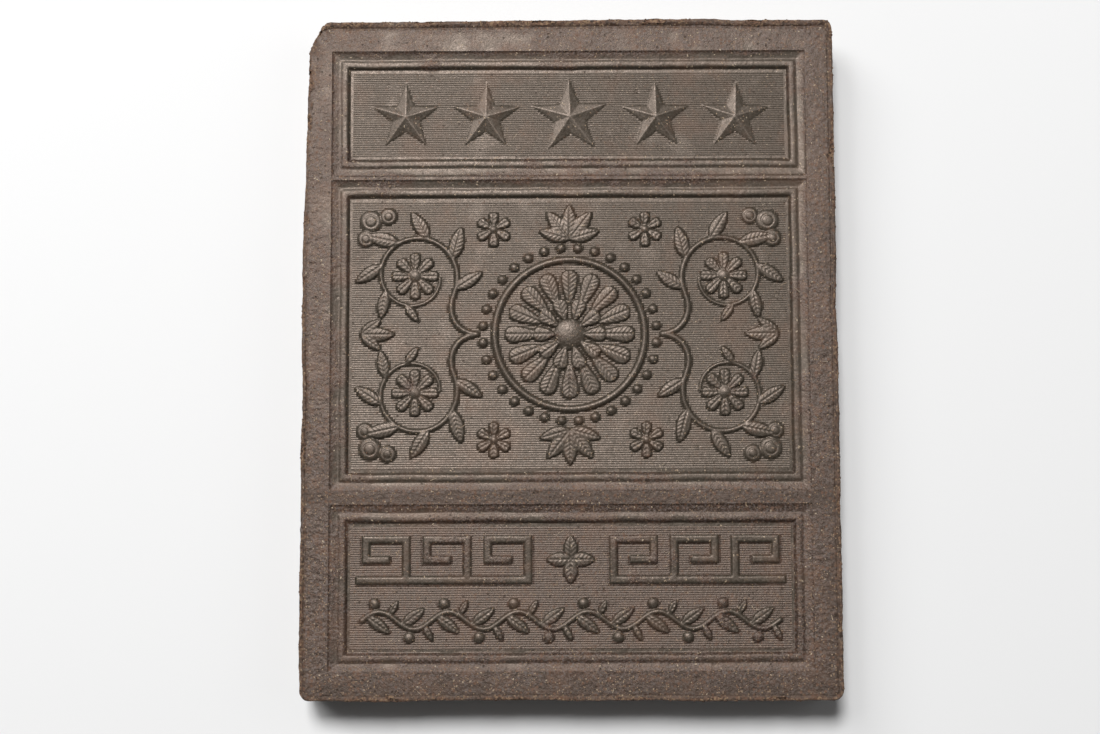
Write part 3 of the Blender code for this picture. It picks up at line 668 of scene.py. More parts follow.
def press_picture(field, middle):
    press_medallion(field, middle)
    for sign in (1, -1):
        for signs in ((sign, 1), (sign, -1)):
            press_quarter(field, middle, np.array(signs))
        for spread, size in PALMETTE_LEAVES:
            field.leaf(middle + np.array((0, sign * PALMETTE_FOOT)),
                       math.radians(90 * sign + spread), size * MM)
        for spread, size in SIDE_BUD_LEAVES:
            turn = math.radians(spread if sign > 0 else 180 - spread)
            field.leaf(middle + SIDE_BUD * (sign, 1), turn, size * MM)


def press_fret(field, middle):
    """A running key pattern on a base line, mirrored about a lozenge of four leaves."""
    start = LOZENGE + FRET_GAP
    for sign in (1, -1):
        for unit in range(FRET_UNITS):
            left = start + unit * 3 * FRET_STEP
            field.stroke([middle + np.array((sign * (left + x * FRET_STEP), (y - 1) * FRET_STEP))
                          for x, y in FRET_CORNERS], FRET_STROKE)
        end = start + (3 * FRET_UNITS - FRET_END_LESS) * FRET_STEP
        field.stroke([middle + np.array((sign * x, -FRET_STEP)) for x in (start, end)],
                     FRET_STROKE)
    for turn in range(4):
        field.leaf(middle, math.pi / 2 * turn, LOZENGE, LOZENGE * LOZENGE_WIDTH)


def press_vine(field, middle):
    """A waving stem with two leaves and a berry in every bend."""
    count = VINE_WAVES * 20
    field.stem([middle + vine_point(i / count) for i in range(count + 1)], VINE_STEM, 0.9)
    bends = 2 * VINE_WAVES
    for bend in range(bends):
        side = 1 if bend % 2 == 0 else -1
        for size, (place, turn) in ((VINE_LEAF, VINE_LEAF_AT), (VINE_TWIG, VINE_TWIG_AT)):
            field.leaf(middle + vine_point((bend + place) / bends), math.radians(turn * side), size)
        spot = middle + vine_point((bend + VINE_BERRY_AT) / bends)
        field.dome(spot + np.array((0, side * VINE_BERRY_OUT)), VINE_BERRY, VINE_BERRY * 0.5)


def polish_at(x, y):
    """How well the mould has polished the skin: less to the right and towards the foot. The
    material darkens the dullest places in colour too, as painted shade.
    """
    right = smooth((x / HALF_X - 0.86) / 0.14)
    foot = smooth((-y / HALF_Y - 0.88) / 0.12)
    rail = hump(y - LOWER_RAIL[0], LOWER_RAIL[1]) * (np.abs(x) < HALF_X)
    lower = smooth((-y / HALF_Y - 0.45) / 0.06)
    lost = LESS_RIGHT * right + LESS_FOOT * foot + LESS_RAIL * rail + LESS_LOWER * lower
    return np.clip(POLISH - lost + layered(x, y, POLISH_PATCHES), 0, 1)


def grit_at(x, y, polish):
    """The unevenness of the pressed surface: grains, small pits, and slow swells."""
    pits = np.clip(wander(x, y, 1.1 * MM, 35) - 1.9 - 0.6 * polish, 0, 1.5)
    coarse = 1 + 0.45 * smooth((np.abs(x) / HALF_X - 0.86) / 0.08)
    coarse *= 2.6 - 2.5 * np.maximum(polish, 0.72)
    return GRIT * layered(x, y, GRAINS) * coarse + layered(x, y, SWELLS) - PIT_DEPTH * pits


@functools.lru_cache(maxsize=1)
def moulded_face():
    """Places, heights and traits over the whole grid inside the border."""
    plan = settings("tea_face")
    xs, ys = grid_lines()
    field = Field(xs, ys)
    spots = {name: (bottom, top) for name, bottom, top in panels()}
    press_stars(field, spots["star"][1])
    press_picture(field, np.array((0.0, sum(spots["picture"]) / 2)))
    lower = sum(spots["lower"]) / 2
    press_fret(field, np.array((0.0, lower + FRET_MIDDLE)))
    press_vine(field, np.array((0.0, lower + VINE_MIDDLE)))

    x, y = np.meshgrid(xs, ys)
    half = HALF_X - plan.border_side
    inset = np.zeros(x.shape)
    ruled = np.zeros(x.shape, bool)
    for bottom, top in spots.values():
        from_side = np.minimum(half - np.abs(x), np.minimum(y - bottom, top - y) + plan.moulding)
        inset = np.maximum(inset, from_side)
        ruled |= from_side > plan.moulding
    lines = CUT_WANDER * wander(x, y, 7 * MM, 41) * smooth(inset / FRAME_SOFT)
    lines *= inset < plan.moulding
    sunk = smooth((inset - plan.moulding + FRAME_SOFT / 2) / FRAME_SOFT)
    moulded = smooth(inset / (2.6 * MM))
    polish = np.clip(polish_at(x, y) + MORE_INSIDE * moulded + MORE_INSIDE * sunk, 0, 1)
    height = -section_drop(np.clip(inset + lines, 0, plan.moulding))
    height += field.rise * (1 + 0.05 * wander(x, y, 6 * MM, 42)) + grit_at(x, y, polish)
    bare = ruled & (field.rise < BARE_BELOW)
    traits = {"polish": polish, "broken": np.zeros(x.shape), "bare": 1.0 * bare}
    return x, y, TOP + height, inset, traits


# ---------------------------------------------------------------- meshes from fields
def skin_collection():
    """What holds the sheets of the skin; ribs and grains are laid on them."""
    name = "tea_skin"
    if name not in bpy.data.collections:
        bpy.context.scene.collection.children.link(bpy.data.collections.new(name))
    return bpy.data.collections[name]


def add_sheet(name, points, faces, traits):
    """A smooth mesh of the points and faces, with a number at each point for each trait."""
    mesh = bpy.data.meshes.new(name)
    mesh.from_pydata(points, [], faces)
    mesh.validate()
    for trait, values in traits.items():
        layer = mesh.attributes.new(trait, "FLOAT", "POINT")
        layer.data.foreach_set("value", values.ravel().astype(np.float32))
    mesh.shade_smooth()
    mesh.materials.append(pressed_tea())
    item = bpy.data.objects.new(name, mesh)
    skin_collection().objects.link(item)
    return item


def quads(rows, columns, keep=None, wrap=False):
    """The corner numbers of the squares of a grid."""
    row = np.arange(rows - 1)[:, None]
    column = np.arange(columns if wrap else columns - 1)[None, :]
    after = (column + 1) % columns
    corners = np.stack([row * columns + column, row * columns + after,
                        (row + 1) * columns + after, (row + 1) * columns + column], -1)
    return corners[keep] if keep is not None else corners.reshape(-1, 4)


def settle(item, replaces=True):
    """Say what carries the piece and what it stands for."""
    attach(item, "root")
    if replaces:
        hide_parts("brick")


def face_sheet(name, wanted):
    """One sheet of the moulded face: the squares whose middle meets the test."""
    x, y, z, inset, traits = moulded_face()

    def middles(values):
        return (values[1:, 1:] + values[:-1, :-1]) / 2

    keep = wanted(middles(inset), middles(x), middles(y))
    points = np.stack([x, y, z], -1).reshape(-1, 3)
    used, faces = np.unique(quads(*x.shape, keep), return_inverse=True)
    settle(add_sheet(name, points[used], faces.reshape(-1, 4),
                     {trait: values.ravel()[used] for trait, values in traits.items()}))


# ---------------------------------------------------------------- border, edge and sides
def corner_path(sign_x, sign_y, reach_x, reach_y, step):
    """Outline points round one rounded corner, from beside it to above or below it."""
    angles = np.linspace(0, math.pi / 2, CORNER_POINTS)
    centre = np.array((HALF_X - CORNER_RADIUS, HALF_Y - CORNER_RADIUS))
    arc = [centre + heading(angle) * CORNER_RADIUS for angle in angles]
    path = np.array([(HALF_X, HALF_Y - reach_y)] + arc + [(HALF_X - reach_x, HALF_Y)])
    along = np.concatenate([[0], np.cumsum(np.hypot(*np.diff(path, axis=0).T))])
    places = np.array(spaced(0, along[-1], step)[1:])
    found = np.stack([np.interp(places, along, path[:, axis]) for axis in (0, 1)], -1)
    return found * (sign_x, sign_y)


def rim_columns():
    """Pairs of points all round: one on the panels' frame, one on the outline outside it."""
    plan = settings("tea_face")
    xs, ys = grid_lines()
    inner, outer = [], []

    def add_side(line, edge):
        inner.extend(line)
        outer.extend(edge)

    def add_corner(sign_x, sign_y):
        corner = (sign_x * (HALF_X - plan.border_side), ys[-1] if sign_y > 0 else ys[0])
        reach_y = HALF_Y - sign_y * corner[1]
        path = corner_path(sign_x, sign_y, plan.border_side, reach_y, plan.cell)
        add_side([corner] * len(path), path if sign_x == sign_y else path[::-1])

    add_side([(x, ys[0]) for x in xs], [(x, -HALF_Y) for x in xs])
    add_corner(1, -1)
    add_side([(xs[-1], y) for y in ys], [(HALF_X, y) for y in ys])
    add_corner(1, 1)
    add_side([(x, ys[-1]) for x in xs[::-1]], [(x, HALF_Y) for x in xs[::-1]])
    add_corner(-1, 1)
    add_side([(xs[0], y) for y in ys[::-1]], [(-HALF_X, y) for y in ys[::-1]])
    add_corner(-1, -1)
    return np.array(inner), np.array(outer)


def edge_rows(reach):
    """Rows from the panels' frame over the edge to the back: inset, height and lean of each."""
    plan = settings("tea_face")
    rows = []
    for share in spaced(1.0, 0.0, plan.moulding_cell / (plan.border_side - RIM_FROM)):
        rows.append((RIM_FROM + (reach - RIM_FROM) * share, TOP, 0.0))
    for inset in (RIM_FROM,) + tuple(place * MM for place in RIM_ROWS):
        fall = 1 - math.sqrt(1 - max(0.0, 1 - inset / EDGE_INSET) ** 2)
        rows.append((inset + 0 * reach, TOP - EDGE_DROP * fall,
                     math.radians(EDGE_STEEP * fall)))
    for height in spaced(TOP - EDGE_DROP - SIDE_GAP, LOWER_EDGE, plan.side_cell):
        rows.append((0 * reach, height, math.pi / 2))
    for angle in np.linspace(0, math.pi / 2, LOWER_EDGE_ROWS):
        rows.append((LOWER_EDGE * (1 - math.cos(angle)) + 0 * reach,
                     LOWER_EDGE * (1 - math.sin(angle)), math.pi / 2 + angle))
    for inset in BACK_ROWS:
        rows.append((inset + 0 * reach, 0.0, math.pi))
    return rows


def scored(x, y):
    """Height of the back where the scores are cut into it."""
    height = np.zeros(np.shape(x))
    for place, span, depth in ((x, HALF_X, SCORE_DEPTHS[0]), (y, HALF_Y, SCORE_DEPTHS[1])):
        for index in range(1, PADS):
            middle = span * (2 * index / PADS - 1)
            height = np.maximum(height, depth - SCORE_SLOPE * np.abs(place - middle))
    return height


def side_wear(height):
    """How far the left side is worn in at this height up the face."""
    return WORN_SIDE * smooth((height - WORN_SIDE_FROM) / WORN_SIDE_RISE)


def wear_corner(points, ragged):
    """Take off the upper left corner along a leaning plane; how deep each point was pulled."""
    reach_x, reach_y = WORN_CORNER_REACH
    flat = np.array((-reach_y, reach_x)) / math.hypot(reach_x, reach_y)
    lean = math.radians(WORN_CORNER_LEAN)
    normal = np.array((*(flat * math.cos(lean)), math.sin(lean)))
    on_plane = np.array((-HALF_X + reach_x, HALF_Y, TOP))
    beyond = np.clip((points - on_plane) @ normal + ragged, 0, None)
    points -= beyond[..., None] * normal
    return beyond


def bite(points, middle, radii, ragged):
    """Push the points out of an uneven lump that bites into the brick."""
    away = (points - middle) / radii
    size = np.sqrt((away ** 2).sum(-1)) * (1 + ragged)
    inside = size < 1
    scale = np.where(inside, 1 / np.maximum(size, 0.25), 1.0)
    moved = middle + away * radii * scale[..., None]
    points[inside] = moved[inside]
    return np.clip(1.35 - size, 0, 1)


def chip_places():
    """Middle and half-size of every chip, drawn from a fixed seed."""
    draw = np.random.default_rng(CHIP_SEED)
    sides = {"left": (-1, 0), "right": (1, 0), "top": (0, 1), "bottom": (0, -1)}
    for side, out in sides.items():
        out = np.array(out)
        for place in CHIPS_AT[side]:
            size = draw.uniform(*CHIP_SIZE) * MM
            spread = draw.uniform(*CHIP_SPREAD)
            middle = out * (HALF_X, HALF_Y) + np.abs(out[::-1]) * place * MM
            if side == "left":
                middle[0] += side_wear(middle[1])
            radii = np.where(np.append(np.abs(out), 1) > 0, size * 0.8, size * spread)
            yield np.append(middle, TOP + 0.35 * size), radii


@functools.lru_cache(maxsize=1)
def rim_band():
    """Points and traits of the band from the panels' frame to the back, and its last edge row."""
    inner, outer = rim_columns()
    way = inner - outer
    reach = np.hypot(*way.T)
    way = way / reach[:, None]
    around = np.concatenate([[0], np.cumsum(np.hypot(*np.diff(outer, axis=0).T))])
    total = around[-1] + math.hypot(*(outer[0] - outer[-1]))
    inset, heights, leans = (np.array(values) for values in zip(*edge_rows(reach)))
    height = heights[:, None] + 0 * inset
    lean = leans[:, None] + 0 * inset
    on_face, steep, high = lean < 0.01, lean > 1.0, height > TOP / 2

    def drawn(cell, seed, down=1):
        """A random field over the band, or with 0 down one that changes only along it."""
        run = down * np.cumsum(np.full(inset.shape, ROW_STEP), 0)
        return wander(around + 0 * inset, run, cell, seed, around=total)

    def drawn_layers(layers):
        return sum(strength * drawn(cell, seed) for strength, cell, seed in layers)

    upper = smooth((outer[:, 1] / HALF_Y - 0.97) / 0.03)
    left = outer[:, 0] < -0.9 * HALF_X
    clean = left * smooth((outer[:, 1] - CLEAN_SIDE[0]) / (CLEAN_SIDE[1] - CLEAN_SIDE[0]))
    clean *= 1 - upper
    wide = 1 + (UPPER_FRINGE - 1) * upper
    presence = np.clip(0.75 + 0.45 * drawn(*BAND_FIELDS["fin"], down=0), 0.1, 1.3)
    foot = smooth((-outer[:, 1] / HALF_Y - 0.9) / 0.1)
    presence = presence * (1 - FIN_LOST_AT_FOOT * foot) * (1 - LOST_WHERE_CLEAN * clean)
    waver = WAVER * np.clip(drawn(*BAND_FIELDS["waver"], down=0), 0, 1.2)
    wear = side_wear(outer[:, 1]) * np.clip(way[:, 0], 0, 1) * (outer[:, 0] < 0)
    leaning = FIN_LEAN * upper * smooth(outer[:, 0] / HALF_X * 0.6 + 0.6)
    pulled = inset + (waver + (wear - leaning) * height / TOP) * (1 - inset / reach)
    x = outer[:, 0] + way[:, 0] * pulled
    y = outer[:, 1] + way[:, 1] * pulled
    polish = polish_at(x, y)
    fin = hump(inset - FIN_INSET * wide, FIN_WIDTH * wide)
    height = height + presence * FIN_HEIGHT * wide * fin * high
    crease = hump(inset - CREASE_INSET * wide, CREASE_WIDTH * wide)
    crease = crease * wide * (1 - CREASE_LOST_AT_FOOT * foot) * (1 - LOST_WHERE_CLEAN * clean)
    height = height - CREASE_DEPTH * crease * on_face

    fringe = hump(inset, FRINGE_WIDTH * wide * (1 - 0.5 * clean)) * high
    rough = drawn_layers(EDGE_GRAINS) * (fringe + 0.55 * steep * (lean < 3.0))
    calm = np.minimum(1.0, (reach - inset) / MM)
    rough = rough + calm * on_face * grit_at(x, y, polish) - SIDE_SUNK * steep
    x = x - way[:, 0] * np.sin(lean) * rough
    y = y - way[:, 1] * np.sin(lean) * rough
    height = height + np.cos(lean) * rough
    points = np.stack([x, y, height], -1)

    broken = np.clip(fringe * (0.75 + 0.35 * drawn(*BAND_FIELDS["fringe"])), 0, 1)
    crumbled = left * smooth(1 - (HALF_Y - outer[:, 1]) / WORN_STRETCH) * hump(inset, WORN_WIDTH)
    crumbled = crumbled * np.clip(0.35 + 0.5 * drawn(*BAND_FIELDS["crumbled"]), 0, 0.8)
    broken = np.maximum(broken, crumbled * on_face)
    sides = steep * np.clip(0.3 + 0.2 * drawn(*BAND_FIELDS["sides"]), 0, 1)
    broken = np.maximum(broken, sides)
    pulled_back = wear_corner(points, drawn_layers(BREAK_GRAINS))
    broken = np.maximum(broken, smooth(pulled_back / BREAK_DEPTH))
    for middle, radii in chip_places():
        bitten = bite(points, middle, radii, CHIP_RAGGED * drawn(*BAND_FIELDS["chips"]))
        broken = np.maximum(broken, smooth(bitten * 2.5))
    low = points[..., 2] < TOP / 2
    points[..., 2] = np.where(low, np.maximum(points[..., 2], scored(x, y)), points[..., 2])
    traits = {"polish": polish * (1 - broken), "broken": broken, "bare": 0 * broken}
    split = int(np.argmax(heights < TOP - EDGE_DROP)) + 1
    return points, traits, split


def border_sheet():
    """The border and the edge, as far as the foot of the fringe."""
    points, traits, split = rim_band()
    faces = quads(split, points.shape[1], wrap=True)
    settle(add_sheet("face_border", points[:split].reshape(-1, 3), faces[:, ::-1],
                     {name: values[:split] for name, values in traits.items()}))


def side_sheet():
    """The sides down to the back, with half as many columns below their first row."""
    points, traits, split = rim_band()
    columns = points.shape[1]
    half = columns // 2

    def thinned(values):
        return np.concatenate([values[split - 1], *values[split:, ::2]])

    first = np.arange(0, columns, 2)
    below = columns + np.arange(half)
    steps = np.stack([first, first + 1, (first + 2) % columns, np.roll(below, -1), below], -1)
    squares = quads(len(points) - split, half, wrap=True) + columns
    faces = steps[:, ::-1].tolist() + squares[:, ::-1].tolist()
    settle(add_sheet("brick_sides", thinned(points), faces,
                     {name: thinned(values) for name, values in traits.items()}))


# ---------------------------------------------------------------- the scored back
def back_lines(half):
    """Places across the back, close together in the scores."""
    plan = settings("tea_face")
    edge = half - BACK_INSET
    places = set(np.linspace(-edge, edge, round(2 * edge / plan.back_cell)))
    for index in range(1, PADS):
        middle = half * (2 * index / PADS - 1)
        places = {place for place in places if abs(place - middle) > SCORE_CLEAR}
        places |= set(middle + np.linspace(-SCORE_REACH, SCORE_REACH, SCORE_POINTS))
    return np.array(sorted(places))


def zip_loops(outer, inner, points):
    """Triangles between two loops of points that run round the middle."""
    def turned(loop):
        angle = np.arctan2(points[loop][:, 1], points[loop][:, 0])
        order = np.argsort(angle)
        return loop[order], angle[order]

    (a, angle_a), (b, angle_b) = turned(outer), turned(inner)
    i, j, faces = 0, 0, []
    while i < len(a) or j < len(b):
        here_a, here_b = a[i % len(a)], b[j % len(b)]
        if j >= len(b) or (i < len(a) and angle_a[i] <= angle_b[j]):
            faces.append((here_a, here_b, a[(i + 1) % len(a)]))
            i += 1
        else:
            faces.append((here_a, here_b, b[(j + 1) % len(b)]))
            j += 1
    return faces


def back_sheet():
    """The underside, joined to every second column of the band's last row."""
    x, y = np.meshgrid(back_lines(HALF_X), back_lines(HALF_Y))
    grain = sum(strength * np.abs(wander(x, y, cell, seed))
                for strength, cell, seed in BACK_GRAINS)
    ring = rim_band()[0][-1, ::2]
    points = np.concatenate([np.stack([x, y, scored(x, y) + grain], -1).reshape(-1, 3), ring])
    number = np.arange(x.size).reshape(x.shape)
    border = np.concatenate([number[0], number[1:-1, -1], number[-1], number[1:-1, 0]])
    outside = np.arange(len(ring)) + x.size
    faces = quads(*x.shape)[:, ::-1].tolist()
    faces += zip_loops(outside, border, points)
    patches = BACK_POLISH + 0.15 * wander(x, y, 9 * MM, 63).ravel()
    polish = np.append(patches, np.full(len(ring), BACK_POLISH))
    settle(add_sheet("brick_back", points, faces, {
        "polish": polish, "broken": 0 * polish + BACK_BROKEN, "bare": 0 * polish}))


# ---------------------------------------------------------------- node trees
class Socket:
    """An output of a node; Python's operators on it add Math nodes."""

    def __init__(self, nodes, socket):
        self.nodes = nodes
        self.socket = socket

    def also(self, name):
        """Another output of the same node."""
        return Socket(self.nodes, self.socket.node.outputs[name])

    def __add__(self, other):
        return self.nodes.math("ADD", self, other)

    def __sub__(self, other):
        return self.nodes.math("SUBTRACT", self, other)

    def __rsub__(self, other):
        return self.nodes.math("SUBTRACT", other, self)

    def __mul__(self, other):
        return self.nodes.math("MULTIPLY", self, other)

    def __truediv__(self, other):
        return self.nodes.math("DIVIDE", self, other)

    def __gt__(self, other):
        return self.nodes.math("GREATER_THAN", self, other)

    def __lt__(self, other):
        return self.nodes.math("LESS_THAN", self, other)

    __radd__ = __add__
    __rmul__ = __mul__


class Nodes:
    """A node tree, and the one way that nodes are added to it."""

    def __init__(self, tree):
        self.tree = tree

    def add(self, kind, inputs=None, output=0, stops=None, **choices):
        node = self.tree.nodes.new(kind)
        for name, value in choices.items():
            setattr(node, name, value)
        if stops:
            ramp = node.color_ramp.elements
            while len(ramp) < len(stops):
                ramp.new(1.0)
            for element, (place, shade) in zip(ramp, stops):
                element.position = place
                element.color = (*shade, 1.0)
        for name, value in (inputs or {}).items():
            if isinstance(value, Socket):
                self.tree.links.new(value.socket, node.inputs[name])
            else:
                node.inputs[name].default_value = value
        return Socket(self, node.outputs[output] if len(node.outputs) else None)

    def math(self, operation, first, second=0.0):
        return self.add("ShaderNodeMath", {0: first, 1: second}, operation=operation)

    def ramp(self, value, low, high, to_low=0.0, to_high=1.0):
        """A smooth step of a value from one range to another."""
        return self.add("ShaderNodeMapRange", {"Value": value, "From Min": low, "From Max": high,
                                               "To Min": to_low, "To Max": to_high},
                        interpolation_type="SMOOTHSTEP")

    def blend(self, share, first, second):
        """Two colours mixed by a share."""
        inputs = {0: share}
        for number, shade in ((6, first), (7, second)):
            inputs[number] = shade if isinstance(shade, Socket) else (*shade, 1.0)
        return self.add("ShaderNodeMix", inputs, output=2, data_type="RGBA")

    def noise(self, place, scale, detail=2.0, rough=0.6):
        """Noise with so many bumps to a metre."""
        return self.add("ShaderNodeTexNoise", {
            "Vector": place, "Scale": scale, "Detail": detail, "Roughness": rough})


def new_material(name):
    """An empty material: its nodes, its shader and the place that patterns read."""
    material = bpy.data.materials.new(name)
    material.use_nodes = True
    tree = material.node_tree
    tree.nodes.clear()
    nodes = Nodes(tree)
    shader = nodes.add("ShaderNodeBsdfPrincipled")
    nodes.add("ShaderNodeOutputMaterial", {"Surface": shader})
    place = nodes.add("ShaderNodeTexCoord", output="Object")
    return material, nodes, shader.socket.node, place


def feed(nodes, shader, **inputs):
    """Link or set the shader's sockets; an underscore stands for a space in their names."""
    for name, value in inputs.items():
        name = name.replace("_", " ")
        if isinstance(value, Socket):
            nodes.tree.links.new(value.socket, shader.inputs[name])
        else:
            shader.inputs[name].default_value = value


@functools.lru_cache(maxsize=1)
def pressed_tea():
    """Pressed tea: dark brown grains under a polished grey sheen, redder where it is broken, with
    painted shade darkening its dullest skin.
    """
    look = settings("tea_finish")
    material, nodes, shader, place = new_material("pressed_tea")

    def trait(name):
        return nodes.add("ShaderNodeAttribute", attribute_name=name, output="Fac")

    broken, polish = trait("broken"), trait("polish")
    fine = nodes.noise(place, 2900.0, 3.0, 0.7)
    grain = nodes.noise(place, 1300.0)
    tint = nodes.noise(place, 1700.0)
    blotches = nodes.noise(place, 300.0)
    patches = nodes.noise(place, 60.0, 3.0)
    spots = nodes.add("ShaderNodeTexVoronoi", {"Vector": place, "Scale": 1500.0})
    chosen = nodes.add("ShaderNodeSeparateColor", {"Color": spots.also("Color")})
    lumps = nodes.add("ShaderNodeTexVoronoi", {"Vector": place, "Scale": 700.0})
    picked = nodes.add("ShaderNodeSeparateColor", {"Color": lumps.also("Color")})

    olive = nodes.ramp(polish, 0.76, 0.9)
    olive = olive + (1 - olive) * nodes.ramp(tint, 0.48, 0.6) * 0.75
    skin = nodes.blend(olive, look.border_skin, look.skin)
    grains = nodes.ramp(fine * 0.6 + grain * 0.4, 0.44, 0.57)
    calm = nodes.ramp(polish, 0.72, 0.9) * 0.5
    shade = nodes.blend(grains + (1 - grains) * calm, look.deep_and_shade, skin)
    shade = nodes.blend(nodes.ramp(patches, 0.48, 0.68) * 0.3, shade, look.rust)
    shade = nodes.blend(nodes.ramp(blotches, 0.52, 0.64) * (0.5 - calm), shade, look.rust)
    shade = nodes.blend(nodes.ramp(grain, 0.5, 0.66) * (0.6 - calm), shade, look.film)
    dull_and_shade = 1 - polish
    # Duller skin, most along the right and lower borders and the lower rail, is darkened in colour
    # too: painted shade for how dim those parts look under the lights; their roughness is real and
    # set below.
    shade = nodes.blend(nodes.ramp(dull_and_shade, 0.35, 0.65) * 0.45, shade, look.deep_and_shade)
    tan = (chosen > 0.94 - dull_and_shade * 0.2) * nodes.ramp(spots, 0.5, 0.2) * (0.8 - calm)
    shade = nodes.blend(tan, shade, look.tan)
    rusty = (picked > 0.9 - dull_and_shade * 0.3) * nodes.ramp(lumps, 0.5, 0.2) * (0.8 - calm)
    shade = nodes.blend(rusty, shade, look.rust)
    pore = (picked < 0.03 + dull_and_shade * 0.15) * nodes.ramp(lumps, 0.4, 0.1)
    shade = nodes.blend(pore * 0.8, shade, look.deep_and_shade)
    crumbly = nodes.blend(nodes.ramp(grain, 0.35, 0.65), look.rust, look.broken)
    crumbly = nodes.blend((chosen > 0.75) * 0.6, crumbly, look.tan)
    crumbly = nodes.blend((chosen < 0.25) * 0.8, crumbly, look.deep_and_shade)
    shade = nodes.blend(broken, shade, crumbly)

    uneven = nodes.ramp(fine * 0.6 + grain * 0.4, 0.38, 0.65, -0.09, 0.13)
    rough = look.roughness + (uneven + (patches - 0.5) * 0.06)
    rough = rough + dull_and_shade * 0.2 + broken * 0.3 + (tan + rusty + pore) * 0.2
    relief = fine * 0.4 + grain * 0.6 + blotches * 0.4 - pore * 0.35 + tan * 0.2
    relief = relief * (nodes.ramp(polish, 0.74, 0.92, 1.75, 0.42) + broken)
    bump = nodes.add("ShaderNodeBump", {"Strength": 1.0, "Distance": BUMP, "Height": relief})
    feed(nodes, shader, Base_Color=shade, Roughness=rough, Normal=bump, IOR=1.6,
         Specular_IOR_Level=look.sheen, Specular_Tint=(*look.sheen_tint, 1.0))
    return material


def speck_material(name, stops, rough):
    """Grains whose colour is picked from a ramp by each grain's own tone."""
    material, nodes, shader, place = new_material(name)
    tone = nodes.add("ShaderNodeAttribute", attribute_name="tone", output="Fac")
    shade = nodes.add("ShaderNodeValToRGB", {"Fac": tone}, stops=stops)
    mottle = nodes.noise(place, 2600.0)
    shade = nodes.blend(nodes.ramp(mottle, 0.3, 0.7) * 0.4, shade, settings("tea_finish").deep_and_shade)
    feed(nodes, shader, Base_Color=shade, Roughness=rough + mottle * 0.1)
    return material


# ---------------------------------------------------------------- Geometry Nodes
def new_tree(name, inputs):
    """A Geometry Nodes tree with named inputs; its nodes and its input sockets by name."""
    tree = bpy.data.node_groups.new(name, "GeometryNodeTree")
    for title, kind, default in inputs:
        made = tree.interface.new_socket(title, in_out="INPUT", socket_type="NodeSocket" + kind)
        if default is not None:
            made.default_value = default
    tree.interface.new_socket("Geometry", in_out="OUTPUT", socket_type="NodeSocketGeometry")
    nodes = Nodes(tree)
    source = nodes.add("NodeGroupInput")
    return nodes, {title: source.also(title) for title, _, _ in inputs}


def finish_tree(nodes, geometry, material):
    """End the tree in real geometry with its material."""
    real = nodes.add("GeometryNodeRealizeInstances", {"Geometry": geometry})
    painted = nodes.add("GeometryNodeSetMaterial", {"Geometry": real, "Material": material})
    nodes.add("NodeGroupOutput", {"Geometry": painted})
    return nodes.tree


def grow(name, tree, values):
    """Run the tree with the values and keep its result as a plain mesh."""
    item = bpy.data.objects.new(name, bpy.data.meshes.new(name))
    bpy.context.scene.collection.objects.link(item)
    modifier = item.modifiers.new(name, "NODES")
    modifier.node_group = tree
    for socket in tree.interface.items_tree:
        if socket.in_out == "INPUT" and socket.name in values:
            modifier[socket.identifier] = values[socket.name]
    depsgraph = bpy.context.evaluated_depsgraph_get()
    mesh = bpy.data.meshes.new_from_object(item.evaluated_get(depsgraph), depsgraph=depsgraph,
                                           preserve_all_data_layers=True)
    item.modifiers.remove(modifier)
    item.data = mesh
    if not mesh.polygons:
        raise RuntimeError(f"{name} came out empty")
    places = np.empty(len(mesh.vertices) * 3, np.float32)
    mesh.vertices.foreach_get("co", places)
    places[2::3] = np.maximum(places[2::3], LOW.z)      # nothing sticks out under the brick
    mesh.vertices.foreach_set("co", places)
    mesh.update()
    settle(item, replaces=False)


def scatter(name, tree, density, seed, stops, rough, values):
    """Grow pieces of one kind over the skin, in a material of their own."""
    grow(name, tree, {
        "Skin": skin_collection(),
        "Density": density / MM ** 2,
        "Seed": settings("tea_specks").seed + seed,
        "Material": speck_material(name, stops, rough),
        **values,
    })


def combine(nodes, x=0.0, y=0.0, z=0.0):
    return nodes.add("ShaderNodeCombineXYZ", {"X": x, "Y": y, "Z": z})


def skin_geometry(nodes, given):
    skin = nodes.add("GeometryNodeCollectionInfo", {"Collection": given["Skin"]})
    return nodes.add("GeometryNodeRealizeInstances", {"Geometry": skin})


def named(nodes, trait):
    return nodes.add("GeometryNodeInputNamedAttribute", {"Name": trait}, data_type="FLOAT")


def store(nodes, geometry, trait, value, domain="POINT"):
    return nodes.add("GeometryNodeStoreNamedAttribute", {
        "Geometry": geometry, "Name": trait, "Value": value}, data_type="FLOAT", domain=domain)


